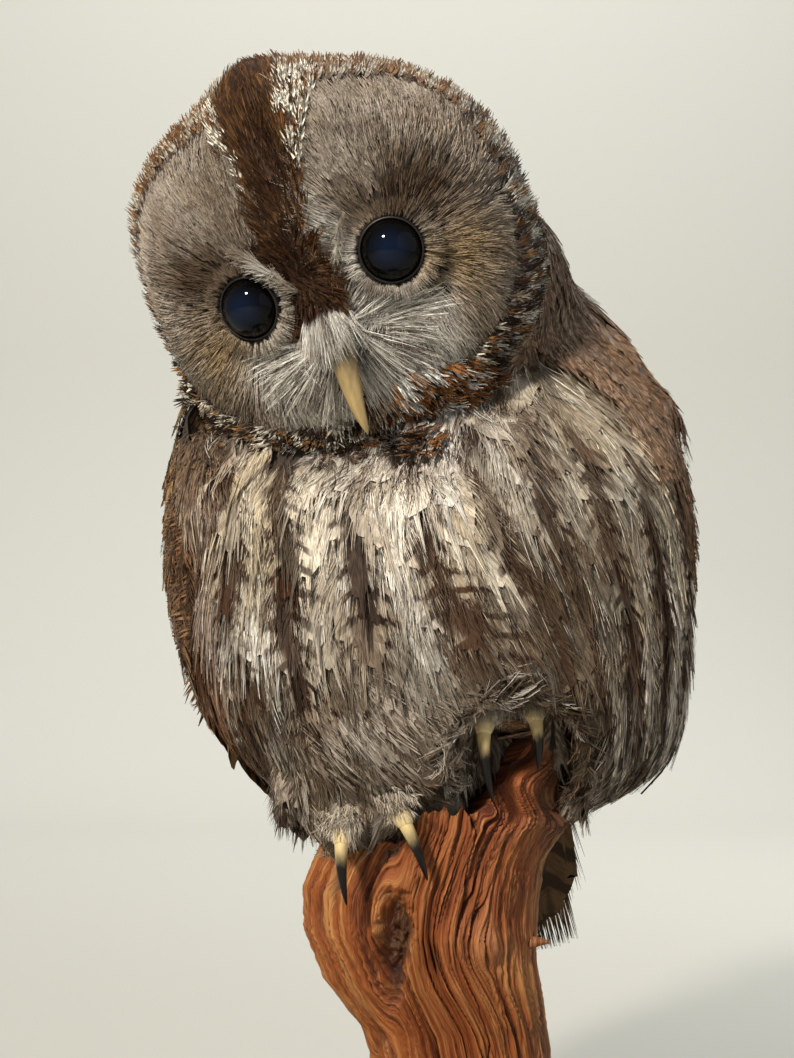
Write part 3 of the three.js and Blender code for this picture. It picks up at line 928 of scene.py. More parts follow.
def rim_look(p):
    q = to_head(p) / MM
    n = len(p)
    chance = rng.random((n, 1))
    top = smooth(q[:, 2], 14, 34)[:, None]
    left = (q[:, 0] > 0)[:, None]
    blotch = patchy(p, 5, 37) * (1 - top) * np.where(left, 1.0, 0.5)
    light = np.where(chance < 0.36, CREAM, np.where(chance < 0.5, FAWN, np.where(chance < 0.72, GOLDEN, SOOT)))
    light = mix(light, mix(UMBER * 1.3, GOLDEN, chance), 0.5 * top)
    light = mix(light, SOOT, 0.75 * blotch)
    return looks(n, light, SOOT, columns(0.15, 0.6, 0.4 + 0 * top[:, 0]), columns(3.0, 0.6, 0.2))


def chin_look(p):
    n = len(p)
    chance = rng.random((n, 1))
    # The rufous is lifted by half: partly the patch's own bright colour, partly painted light against the shadow under
    # the bill.
    light = np.where(chance < 0.30, WHITE, np.where(chance < 0.86, mix(RUFOUS, GOLDEN, 0.4) * 1.5, SOOT))
    return looks(n, light, SOOT, columns(0.1, 0.5, 0.35), columns(3.0, 0.5, 0.2))


def crown_look(p):
    q = to_head(p) / MM
    n = len(p)
    tone = patchy(p, 8, 11)
    side = smooth(np.abs(q[:, 0]), 18, 45)[:, None]
    light = mix(mix(FAWN, RUFOUS, 0.45 * side), PALE, 0.4 * tone)
    light = mix(light, WHITE, 0.7 * some(n, 0.12)[:, None])
    light = mix(light, CHESTNUT, 0.6 * (bell(q[:, 0] + 9, 10) * smooth(q[:, 2], 30, 45))[:, None])
    return looks(n, light, mix(SOOT, CHESTNUT, 0.35), columns(0.3, 0.9, 0.35 + 0 * tone[:, 0]), columns(4.0, 0.6, 0.4))


def column_place(p):
    """Where points lie in the breast's pattern: across it, counted in dark columns, and down it in mm.
    The columns follow the lie of the coat from one level of the breast."""
    x, y, z = (p / MM).T
    height = z
    rise = (262 - z) / 8
    for _ in range(8):
        heading = flow_body(np.stack([x, y, z], 1) * MM)
        x, z = x + heading[:, 0] / heading[:, 2] * rise, z + rise
    wander = layered(p / (24 * MM), 77, 2) - 0.5
    return np.stack([(x + 11) / COLUMN_SPACING + 0.9 * wander, height + 9 * wander], 1)


def ground(p, seed):
    """The pale colour between the columns: cream above, greyer and browner below and to the owl's left. The grey-brown
    low on the belly is partly the feathers' own colour and partly painted shade under the breast's bulge; the paler
    upper flank at the owl's far left is painted light.
    """
    x, y, z = (p / MM).T
    tone, warm = patchy(p, 16, seed), patchy(p, 11, seed + 4)
    # Browner and darker low on the belly: the feathers' own brown together with painted shade under the breast's bulge.
    brown_and_shade = np.interp(z, [165, 190, 222, 240, 262], [0.6, 0.9, 0.85, 0.45, 0.0])
    brown_and_shade = brown_and_shade + 0.5 * smooth(x, -8, 22) * smooth(z, 290, 262) - 0.3 * smooth(-x, 36, 52) * smooth(-z, -205, -185)
    light = mix(CREAM, WHITE, tone)
    light = mix(light, PALE, 0.85 * smooth(-z, -240, -210)[:, None])
    light = mix(light, BUFF, 0.5 * warm)
    brown_and_shade = brown_and_shade + 0.35 * smooth(x, 0, 16) * smooth(z, 245, 262)
    # Less brown on the upper flank at the owl's far left: painted light on that side.
    brown_and_shade = brown_and_shade - 0.9 * smooth(x, 34, 48) * smooth(z, 205, 225)
    # The brown is darkest at the belly's middle height: partly its own colour, partly painted shade.
    brown_depth_and_shade = np.interp(z, [165, 190, 222, 240, 262], [0.5, 0.26, 0.3, 0.45, 0.55])[:, None]
    light = mix(light, FAWN * brown_depth_and_shade, np.clip(brown_and_shade[:, None] + 0.4 * (warm - 0.5), 0, 0.95))
    blotch = patchy(p, 8, 111)[:, 0] * smooth(x, -10, 4) * bell(z - 248, 26)
    light = mix(light, mix(RUFOUS, UMBER, 0.5), 0.75 * smooth(-x, 58, 68)[:, None])
    return mix(light, mix(UMBER, SOOT, 0.3), 0.85 * blotch[:, None])


def marking(p):
    """How strongly the dark columns show: broken into lengths, faint at the top of the breast."""
    x, y, z = (p / MM).T
    broken = smooth(layered(p / (15 * MM), 107, 2), 0.34, 0.56)
    strong = np.interp(z, [170, 205, 225, 255, 270, 282], [0.55, 0.75, 1.0, 1.0, 0.5, 0.25])
    strong = strong + 0.5 * smooth(x, 0, 20) * smooth(z, 255, 268)
    return np.clip(1.1 * strong * (0.4 + 0.6 * broken), 0, 1) * rng.uniform(0.85, 1.0, len(p))


def breast_look(p):
    x, y, z = (p / MM).T
    n = len(p)
    light = mix(ground(p, 13), RUFOUS, 0.5 * (bell(x + 12, 14) * smooth(z, 268, 280))[:, None])
    own = 0.7 * some(n, 0.16)
    dark = mix(SOOT, CHESTNUT, 0.7 * rng.random((n, 1)))
    return looks(n, light, dark, columns(0.12, own, 0.1), columns(6.0, 0.5 * own, 2.0), marking(p))


def belly_look(p):
    n = len(p)
    own = 0.8 * some(n, 0.25)
    dark = mix(SOOT, CHESTNUT, 0.5 * rng.random((n, 1)))
    return looks(n, ground(p, 19), dark, columns(0.10, own, 0.15), columns(6.0, 0.6 * own, 2.0), marking(p))


def plume_look(p):
    """The pale loose feathers between the belly and the feet."""
    n = len(p)
    light = mix(mix(PALE, WHITE, rng.random((n, 1))), FAWN * 0.8, 0.35 + 0.5 * patchy(p, 9, 79))
    own = 0.7 * some(n, 0.3)
    return looks(n, light, UMBER, columns(0.12, own, 0.1), columns(5.0, 0.4 * own, 2.0), 0.25)


def flank_look(p):
    n = len(p)
    upper = smooth(p[:, 2], 0.185, 0.215)[:, None]
    light = mix(mix(FAWN, ASH, rng.random((n, 1))), SOOT, 0.35 * patchy(p, 12, 87) * (1 - upper))
    light = mix(light, PALE, mix(0.7 * some(n, 0.3)[:, None], 0.75, upper))
    own = 0.95 * some(n, 0.6)
    return looks(n, light, SOOT, columns(0.2, own, 0.2), columns(6.0, 0.7 * own, 2.0), 0.6)


def wisp_look(p):
    n = len(p)
    light = mix(ground(p, 13), WHITE, 0.5 * some(n, 0.35)[:, None])
    return looks(n, light, UMBER, columns(0, 0, 0), columns(2, 0, 0), 0.9)


def back_look(p):
    n = len(p)
    tone = patchy(p, 14, 29)
    grey = (smooth(p[:, 2], 0.30, 0.32) * bell(p[:, 0] / MM - 15, 30))[:, None]
    light = mix(mix(mix(FAWN, RUFOUS, 0.5), GOLDEN, 0.45), PALE, 0.15 * tone)
    light = mix(light, ASH, 0.45 * grey)
    width = rng.uniform(0.12, 0.22, n)
    return looks(n, light, mix(SOOT, UMBER, 0.5), columns(width, 0.7, 0.35), columns(6.0, 0.6, 1.2))


def covert_look(p):
    n = len(p)
    light = mix(mix(FAWN, RUFOUS, 0.55), BUFF, 0.5 * patchy(p, 10, 83))
    return looks(n, light, mix(SOOT, UMBER, 0.3), columns(0.16, 0.9, 0.5 + 0 * light[:, 0]), columns(5.0, 0.7, 0.8))


def scapular_look(p):
    n = len(p)
    light = mix(BUFF, WHITE, some(n, 0.6)[:, None])
    return looks(n, light, mix(SOOT, UMBER, 0.3), columns(0.25, 0.95, 0.2 + 0 * light[:, 0]), columns(4.0, 0.8, 0.6))


def flight_look(p):
    n = len(p)
    light = mix(BUFF, RUFOUS, 0.4 + 0.2 * rng.random((n, 1)))
    return looks(n, light, mix(SOOT, UMBER, 0.45), columns(0.03, 0.8, 0.25 + 0 * light[:, 0]), columns(9.0, 0.9, 0.3))


def leg_look(p):
    n = len(p)
    light = mix(mix(PALE, FAWN, rng.random((n, 1))), CREAM, 0.5 * patchy(p, 6, 31))
    return looks(n, light, FAWN, columns(0.1, 0.4, 0.3), columns(2.0, 0.2, 0.2))


# ---------- the coat ----------
face_plumage = plumage("face_plumage", 1.3, 0.5)
body_plumage = plumage("body_plumage", 0.5, 1.3)
flight_plumage = plumage("flight_plumage", 0.5, 0.8, 0.6)
foot_plumage = plumage("foot_plumage", 1.2, 0.4)

hair = [tuft(0.24, 6, 0.020, 3, seed) for seed in range(5)]
bristle = [tuft(0.22, 5, 0.008, 5, 40 + seed) for seed in range(4)]
crest = [tuft(0.24, 8, 0.035, 3, 50 + seed) for seed in range(4)]
soft = [downy(0.25, seed=seed) for seed in range(8)]
nape = [downy(0.26, 16, 0.006, seed=60 + seed) for seed in range(5)]
pointed = [downy(0.15, 20, 0.004, roundness=1.3, seed=30 + seed) for seed in range(5)]
fleck = [tuft(0.32, 5, 0.085, 2, 80 + seed) for seed in range(5)]
close = [barbed(0.34, 15, 0.30, 0.06, 0.020, seed=10 + seed) for seed in range(4)]
long_vane = [vane(0.11, 26, 5, widest=0.75, roundness=3.0, ragged=0.04, seed=seed) for seed in range(4)]
wisps = [tuft(0.16, 5, 0.006, 5, 20 + seed) for seed in range(4)]

for name, wanted in (("right", across < 1.8), ("left", across >= 1.8)):
    coat = Coat(f"coat_disc_{name}", "face_plumage")
    lie = stray(flow_disc, 0.5, 4, 61)
    grow(coat, in_disc & wanted, 1.2, hair, (6.0, 10.0), lie, disc_look, 0.2, 2.4, rows=4)
    coat.build(face_plumage)

coat = Coat("coat_bristles", "face_plumage")
grow(coat, in_bristles, 1.3, bristle, (11.0, 18.0), stray(flow_head, 0.4, 5, 67), bristle_look, 1.0, 4.0, 0.5, 6)
coat.build(face_plumage)

coat = Coat("coat_rim", "face_plumage")
lie = stray(flow_head, 0.35, 3, 63)
grow(coat, in_rim, 1.8, crest, (5.0, 7.5), lie, rim_look, 0.5, 2.6, rows=4)
grow(coat, in_rim, 1.8, fleck, (4.0, 6.5), lie, rim_look, 2.2, 3.2, rows=4)
grow(coat, in_chin, 1.7, crest, (6.0, 9.0), lie, chin_look, 0.8, 3.4, rows=4)
grow(coat, in_chin, 1.9, fleck, (4.5, 7.0), lie, chin_look, 2.0, 4.2, rows=4)
in_bib = on_trunk & (np.hypot((body_x + 10) / 12, (body_z - 271) / 9) < 1) & (body_y < 0)
grow(coat, in_bib, 1.9, fleck, (5.0, 8.0), stray(flow_down, 0.5, 4, 109), chin_look, 4.5, 4.0, rows=4)
coat.build(face_plumage)

coat = Coat("coat_wedge", "face_plumage")
grow(coat, in_wedge, 1.5, crest, (6.0, 9.0), lie, wedge_look, 0.8, 3.6, rows=4)
foot = in_wedge & (up < 12)
splayed = stray(lambda p: head_vector(to_head(p) - np.array([-1.5, 30, 4]) * MM), 0.4, 3, 65)
grow(coat, foot, 1.3, crest, (5.0, 8.0), splayed, wedge_look, 1.6, 3.4, 0.4, 4)
grow(coat, in_row, 1.7, fleck, (3.5, 6.0), lie, row_look, 1.8, 3.0, rows=4)
coat.build(face_plumage)

coat = Coat("coat_crown", "face_plumage")
grow(coat, in_crown, 3.0, close, (9.0, 13.0), lie, crown_look, 0.4, 1.8, rows=4)
coat.build(face_plumage)

for part, chosen, look in (("breast", in_breast, breast_look), ("belly", in_belly, belly_look)):
    for hand, half in (("right", body_x < 5), ("left", body_x >= 5)):
        coat = Coat(f"coat_{part}_{hand}", "body_plumage")
        lie = stray(flow_body, 0.26, 16, 91)
        grow(coat, chosen & half & ~at_brink, 5.4, soft, (30.0, 44.0), lie, look, 0.5, 3.6, 0.75)
        grow(coat, chosen & half & ~near_feet, 4.6, wisps, (18.0, 30.0), lie, wisp_look, 2.0, 2.4, 0.75)
        coat.build(body_plumage)

coat = Coat("coat_sweep", "body_plumage")
over_feet = on_trunk & (face_normal[:, 1] < 0.3) & (body_x > -48) & (body_x < 38)
in_sweep = over_feet & (face_normal[:, 2] > -0.4) & (body_x < 12) & (body_z < 212) & (body_z > 176)
grow(coat, in_belly & at_brink, 4.2, soft, (16.0, 24.0), lie, belly_look, 0.5, 3.2, 0.5)
sweep = stray(lambda p: np.broadcast_to([0.62, -0.1, -0.78], p.shape), 0.1, 16, 101)
grow(coat, in_sweep, 4.6, soft, (22.0, 30.0), sweep, plume_look, 1.2, 2.6, 0.5)
hanging = stray(flow_down, 0.14, 14, 103)
steep = face_normal[:, 2] > -0.5
in_hanging = over_feet & (face_normal[:, 2] > -0.35) & (((body_x > 4) & (body_z < 206)) | (body_z < 182))
grow(coat, in_hanging, 4.2, soft, (13.0, 19.0), hanging, plume_look, 1.0, 2.4, 0.5)
hang(coat, over_feet & ~steep & (np.abs(body_y) < 13) & (body_x < 30), 3.4, soft, (15.0, 22.0), flank_look)
coat.build(body_plumage)

coat = Coat("coat_fringe", "body_plumage")
grow(coat, in_fringe, 4.2, pointed, (26.0, 38.0), stray(flow_down, 0.2, 12, 97), flank_look, 0.8, 3.0, 0.4)
in_flank = in_belly & (body_x > 46)
grow(coat, in_flank, 8.0, pointed, (40.0, 54.0), stray(flow_body, 0.15, 16, 105), flank_look, 2.2, 3.0, 0.6)
coat.build(body_plumage)

coat = Coat("coat_back", "body_plumage")
on_nape = (body_z > 272) & (body_x > 8)
lie = stray(flow_body, 0.2, 14, 95)
grow(coat, in_back & ~on_nape, 6.0, nape, (21.0, 30.0), lie, back_look, 0.6, 3.0)
grow(coat, in_back & on_nape, 5.0, nape, (18.0, 26.0), lie, back_look, 4.0, 1.4, 0.95)
coat.build(body_plumage)

coat = Coat("coat_legs", "foot_plumage")
on_side = on_leg & (face_normal[:, 2] > -0.7)
grow(coat, on_side, 1.7, hair, (6.0, 9.0), stray(flow_down, 0.1, 6, 99), leg_look, 0.2, 1.6, 0.9, 4)
grow(coat, on_leg & ~on_side, 1.7, hair, (3.0, 4.5), flow_to(0, 154, 150), leg_look, 0.1, 0.6, 0.9, 4)
coat.build(foot_plumage)

# Folded wings: small coverts at the shoulder, larger ones behind, then the flight feathers.
for hand, shoulder, tip in (
    ("right", (-77, 0, 280), (-14, 150, 122)),
    ("left", (64, 6, 284), (22, 150, 124)),
):
    start, end = np.array(shoulder) * MM, np.array(tip) * MM
    along = (face_centre - start) @ (end - start) / np.sum((end - start) ** 2)
    on_wing = face_flesh == f"wing_{hand}"
    coat = Coat(f"coat_wing_{hand}", "flight_plumage")
    lie = flow_to(*tip)
    grow(coat, on_wing & (along > 0.30) & (along < 0.8), 13, long_vane, (62.0, 84.0), lie, flight_look, 0.2, 1.0, 0.85, 10)
    grow(coat, on_wing & (along > 0.16) & (along < 0.42), 7.5, close, (24.0, 32.0), lie, covert_look, 0.8, 2.0)
    grow(coat, on_wing & (along < 0.22), 4.6, close, (14.0, 20.0), lie, covert_look, 0.8, 2.2)
    coat.build(flight_plumage)


def tail_feathers():
    """Twelve long quills side by side, the middle pair on top."""
    coat = Coat("coat_tail", "flight_plumage")
    line = unit(TAIL_TIP - TAIL_BASE)
    side = unit(np.cross(line, [0.0, 1.0, 0.0]))
    up = np.cross(side, line)
    up = up * np.sign(up[1])
    place = (np.arange(12) - 5.5) / 5.5
    order = np.abs(place)
    root = TAIL_BASE + np.outer(place * 16 * MM, side) + np.outer((4 - 5 * order) * MM, up)
    tip = TAIL_TIP + np.outer(place * 19 * MM, side) + np.outer((2 - 7 * order) * MM, up) - np.outer(order**2 * 8 * MM, line)
    share = np.linspace(0, 1, 8)[None, :, None]
    places = mix(root[:, None], tip[:, None], share)
    ups = np.broadcast_to(up, places.shape)
    size = np.linalg.norm(tip - root, axis=1)
    face = np.array([skin_tree.find_nearest(p)[2] for p in root.tolist()])
    fringe = downy(0.066, 120, 0.0026, roundness=6.0, looseness=0.25, seed=9)
    close_vane = vane(0.075, 30, 7, widest=0.8, roundness=3.4, seed=9)
    form = {"camber": 0.2, "twist": -0.1 * place}
    zero = np.zeros(12)
    look = flight_look(root)
    # The quills' colours are darkened as painted shade, where the tail hangs behind the root.
    look["light"] = look["light"] * 0.35
    look["dark"] = look["dark"] * 0.5
    plant_along(coat, close_vane, face, mix(root[:, None], places, 0.98), ups, size, look, zero, zero, **form)
    plant_along(coat, fringe, face, places, ups, size, look, zero + 0.2, zero + 0.2, **form)
    coverts = stray(flow_to(27, 154, 95), 0.1, 14, 113)
    grow(coat, face_flesh == "tail", 6.0, nape, (22.0, 32.0), coverts, back_look, 0.5, 1.6)
    coat.build(flight_plumage)


tail_feathers()

skin_material = Shader("skin_down", 0.9, 0.2)
finish_piece(skin, "body_plumage", skin_material.colour(DOWN * 0.5), *FLESH)


# ---------- eyes and lids ----------
EYE_RADIUS = 9.3 * MM


def around_axis(name, centre, axis, profile, around=64):
    """A surface turned about an axis; the profile lists (distance from the axis, height along it) in mm."""
    axis = unit(np.asarray(axis, float))
    side = unit(np.cross(axis, [1.0, 0.0, 0.0] if axis[2] > 0.9 else [0.0, 0.0, 1.0]))
    other = np.cross(axis, side)
    angle = np.arange(around) * 2 * math.pi / around
    spoke = np.cos(angle)[:, None] * side + np.sin(angle)[:, None] * other
    points = [centre + (spoke * r + axis * h) * MM for r, h in profile]
    across = np.repeat(np.array([r if h > -1 else 9.3 for r, h in profile]), around)
    values = {"across": np.stack([across, 0 * across, 0 * across], 1)}
    return make_mesh(name, np.vstack(points), grid_quads(len(profile), around, closed=True), values)


def dome(radius, start, end, steps):
    """Profile points of a ball from one angle off its axis to another."""
    return [(radius * math.sin(a), radius * math.cos(a)) for a in np.radians(np.linspace(start, end, steps))]


glass = Shader("eye_glass", 0.05, 0.14)
from_pupil = glass.parts(glass.attribute("across"))[0]
# The navy middle of the glass is a painted reflection; outwards the glass goes to near black.
eye_glass = glass.colour(glass.blend(glass.ramp(from_pupil, 1.5, 7.5), colour(0x0C1628), colour(0x050404)))
lid = Shader("eye_lid", 0.45, 0.5)
lid_edge = lid.parts(lid.attribute("across"))[0]
eye_lid = lid.colour(lid.blend(lid.ramp(lid_edge, 9.2, 10.2), colour(0x120D0A), colour(0x4A3C30)))


LID_PROFILE = [(8.35, 3.7), (8.4, 4.4), (8.65, 4.6), (8.95, 4.4), (9.3, 3.6), (9.7, 2.2), (10.0, 0.0), (10.2, -2.5)]
lashes = Coat("coat_lashes", "face_plumage")
for name, hand in (("eye_right", -1), ("eye_left", 1)):
    low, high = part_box(name)
    centre = np.array(low + high) / 2
    axis = head_vector([hand * math.sin(math.radians(10)), 1.0, 0.04])[0]
    axis = unit(axis)
    ball = around_axis(name + "_glass", centre, axis, dome(EYE_RADIUS / MM, 0.5, 179.5, 40))
    finish_piece(ball, "eye_glass", eye_glass, name)
    lids = around_axis("lids_" + name, centre, axis, LID_PROFILE)
    finish_piece(lids, "face_plumage", eye_lid)
    # Small feathers stand round the lids and lean outwards over the disc.
    n = 760
    angle = rng.uniform(0, 2 * math.pi, n)
    side = unit(np.cross(axis, [0.0, 0.0, 1.0]))
    spoke = np.cos(angle)[:, None] * side + np.sin(angle)[:, None] * np.cross(axis, side)
    root = centre + (spoke * 9.0 + axis * rng.uniform(-2.0, 4.3, (n, 1))) * MM
    lean = rng.uniform(0.05, 0.7, (n, 1))
    size = rng.uniform(3.0, 6.5, n) * MM
    stand(lashes, hair[0], root, spoke + lean * axis, axis + 0 * spoke, size, disc_look, curl=1.5)
    # The brow beside the wedge hangs over the owl's right eye and only borders the left one.
    n = 150 if hand < 0 else 60
    inward = np.array([-hand * 0.82, 0.0, 0.577])
    along_brow = np.array([hand * 0.577, 0.0, 0.82])
    reach = rng.uniform(-10, 10, (n, 1))
    root = to_head(centre) + (inward * (12.5 if hand < 0 else 14.5) + along_brow * reach + [0, 6.0, 0]) * MM
    heading = -along_brow * hand - inward * 0.35 + [0, 0.2, 0] + 0.22 * rng.normal(size=(n, 3))
    size = rng.uniform(4.5, 7.5, n) * MM
    stand(lashes, bristle[0], from_head(root), head_vector(heading), head_vector([0, 1, 0]), size, disc_look)

# Bristles that hide the root of the bill.
n = 240
spread = rng.normal(size=n)
place = np.stack([0.6 + 2.6 * spread, rng.uniform(37, 39.5, n), rng.uniform(-12.5, -7, n)], 1) * MM
heading = np.stack([0.16 * spread, rng.uniform(0.5, 0.85, n), -1 + 0 * spread], 1)
size = rng.uniform(9.0, 13.5, n) * MM
stand(lashes, bristle[1], from_head(place), head_vector(heading), head_vector([0, 1, 0.3]), size, bristle_look, 5, curl=3)
lashes.build(face_plumage)


# ---------- bill ----------
BILL = {"length": 33, "width": 9.2, "depth": 11.5, "up": -12, "forward": 33, "start": 50, "bend": 48, "slant": -1.8}


def mandible(length, width, depth, up, forward):
    """A horn that bends down along an arc, with a ridge along its top."""
    first, bend = math.radians(BILL["start"]), math.radians(BILL["bend"])
    radius = length / bend

    def place(s, a):
        angle = first + bend * s
        girth = np.sqrt(1 - (1 - np.minimum(1, s / 0.2)) ** 2) * (1 - s) ** 0.62 + 0.01
        ridge = np.cos(a) * (1 - 0.35 * smooth(np.sin(a), 0.2, 1))
        outward = depth / 2 * girth * np.sin(a)
        q = [
            width / 2 * girth * ridge + FACE_SHIFT / MM + BILL["slant"] * s,
            forward + radius * (np.sin(angle) - math.sin(first)) + outward * np.sin(angle),
            up - radius * (math.cos(first) - np.cos(angle)) + outward * np.cos(angle),
        ]
        return from_head(np.stack(q, 1) * MM)

    return place


def along_attribute(piece, rows, around):
    share = np.repeat(np.linspace(0, 1, rows), around)
    share = np.concatenate([share, [0, 1]])[: len(piece.data.vertices)]
    layer = piece.data.attributes.new("along", "FLOAT_VECTOR", "POINT")
    layer.data.foreach_set("vector", np.stack([share, 0 * share, 0 * share], 1).astype(np.float32).ravel())


def horn(name, base, tip, turn_from, turn_to, roughness=0.3):
    s = Shader(name, roughness, 0.3)
    grain = s.noise(s.scaled(s.node("TexCoord", output=3), (700.0, 700.0, 260.0)), 1.0, 3.0)
    share = s.add(s.parts(s.attribute("along"))[0], s.mul(s.sub(grain, 0.5), 0.22))
    body = s.blend(s.ramp(share, turn_from, turn_to), base, tip)
    s.bump(grain, 0.00015, 0.35)
    return s.colour(s.tinted(body, s.add(s.mul(grain, 0.35), 0.83)))


bill_horn = horn("bill_horn", colour(0x6A5C44), colour(0xB89E6C), 0.2, 0.75)
upper = make_mesh("bill_upper", *swept(40, 28, mandible(BILL["length"], BILL["width"], BILL["depth"], BILL["up"], BILL["forward"])))
along_attribute(upper, 40, 28)
finish_piece(upper, "bill_horn", bill_horn, "bill")
lower = make_mesh("bill_lower", *swept(24, 20, mandible(17, 7.0, 6.0, BILL["up"] - 6.5, BILL["forward"] - 3.5)))
along_attribute(lower, 24, 20)
finish_piece(lower, "bill_horn", bill_horn)


# ---------- toes and claws ----------
# Each toe: ankle, knuckle, claw tip, and how far the claw bows to the side, in mm.
TOES = {
    "right_inner": ((-29, -6, 154), (-13.7, -25, 165), (-6, -24, 146.5), 1.6),
    "right_middle": ((-29, -6, 154), (-29.6, -24, 160), (-28.4, -24.5, 139.8), -1.4),
    "left_inner": ((20, -4, 186), (9.9, -24, 191), (12.3, -24.5, 168), -2.2),
    "left_middle": ((20, -4, 186), (23.6, -23, 193), (24.7, -24, 177), 1.2),
}


def along_curve(first, middle, last, radius_at, deeper=1.0):
    """A tube along a bent line, its radius in mm at each share of the way."""
    first, middle, last = (np.array(p, float) for p in (first, middle, last))

    def place(s, a):
        s = s[:, None]
        centre = (1 - s) ** 2 * first + 2 * s * (1 - s) * middle + s**2 * last
        along = unit(2 * (1 - s) * (middle - first) + 2 * s * (last - middle))
        across = unit(np.array([1.0, 0, 0]) - along * along[:, :1])
        out = np.cross(across, along)
        r = radius_at(s[:, 0])[:, None]
        return (centre + across * r * np.cos(a)[:, None] + out * r * deeper * np.sin(a)[:, None]) * MM

    return place


def claw_radius(s):
    return 2.1 * np.sqrt(1 - (1 - np.minimum(1, s / 0.12)) ** 2) * (1 - s) ** 0.6 + 0.03


def toe_radius(s):
    scutes = 1 + 0.07 * np.abs(np.sin(s * math.pi * 3.5)) - 0.04
    return 2.7 * scutes * np.sqrt(np.maximum(1 - np.abs(2 * s - 1) ** 5, 0.002))


claw_horn = horn("claw_horn", colour(0xD8C08A), colour(0x0C0806), 0.12, 0.5, 0.42)
toe_scale = horn("toe_scale", colour(0xE2D5AE), colour(0xD2BD8C), 0.2, 0.9, 0.5)
toe_coat = Coat("coat_toes", "foot_plumage")
for name, (ankle, knuckle, tip, bow) in TOES.items():
    ankle, knuckle, tip = (np.array(p, float) for p in (ankle, knuckle, tip))
    size = np.linalg.norm(tip - knuckle)
    middle = mix(knuckle, tip, 0.45) + [bow, -0.32 * size, 0]
    claw = make_mesh("claw_" + name + "_horn", *swept(30, 18, along_curve(mix(knuckle, middle, 0.1), middle, tip, claw_radius, 1.15)))
    along_attribute(claw, 30, 18)
    finish_piece(claw, "claw_horn", claw_horn, "claw_" + name)
    start = knuckle + (ankle - knuckle) * 0.15 + [0, 0, 2.6]
    end = mix(knuckle, middle, 0.42)
    toe = make_mesh("toe_" + name, *swept(30, 18, along_curve(start, knuckle + [0, -0.6, 1.4], end, toe_radius)))
    along_attribute(toe, 30, 18)
    finish_piece(toe, "foot_plumage", toe_scale)
    # Short white feathers come down over the toe to the claw.
    n = 80
    share = 0.35 * rng.random((n, 1))
    ring = rng.normal(size=(n, 3)) * [2.2, 1.0, 1.6]
    root = mix(start + [0, -1.0, 3.5], knuckle + [0, -1.5, 2.5], share) + ring
    heading = unit(knuckle - start) + [0, -0.5, -0.5] + 0.35 * rng.normal(size=(n, 3))
    size = rng.uniform(5.0, 9.0, n) * MM
    stand(toe_coat, hair[1], root * MM, heading, np.tile([0.0, -0.6, 0.8], (n, 1)), size, leg_look, curl=1.5)
toe_coat.build(foot_plumage)


# ---------- root wood ----------
# The stem's left and right outlines, x at each height, in mm.
LEFT_EDGE = ([20, 60, 84, 93, 101, 115, 129, 141, 152, 160, 190], [-33, -27, -22, -22, -25, -36, -41.5, -41.5, -37, -33, -20])
RIGHT_EDGE = ([20, 60, 80, 93, 107, 121, 135, 149, 160, 170, 190], [37, 33, 30.5, 30, 28, 26, 26.8, 29, 34, 33, 35.5])
HOLLOW = {"x": -16, "z": 128, "half_width": 5.5, "half_height": 23, "depth": 6.5}
KNOT = {"x": 11, "z": 127, "radius": 6}
KNOB = {"x": 32, "z": 159, "radius": 5.5}


def ridged(p, seed, octaves=3):
    """Sharp ridges with rounded furrows between them, from 0 to 1."""
    return 1 - np.abs(2 * layered(p, seed, octaves) - 1) * 1.6


def root_top(x):
    """The height of the root's upper end: low under the right foot, a ledge, and high under the left."""
    return mix(mix(156.5, 166.0, smooth(x, -14, -8)), 188.0, smooth(x, 6, 24))


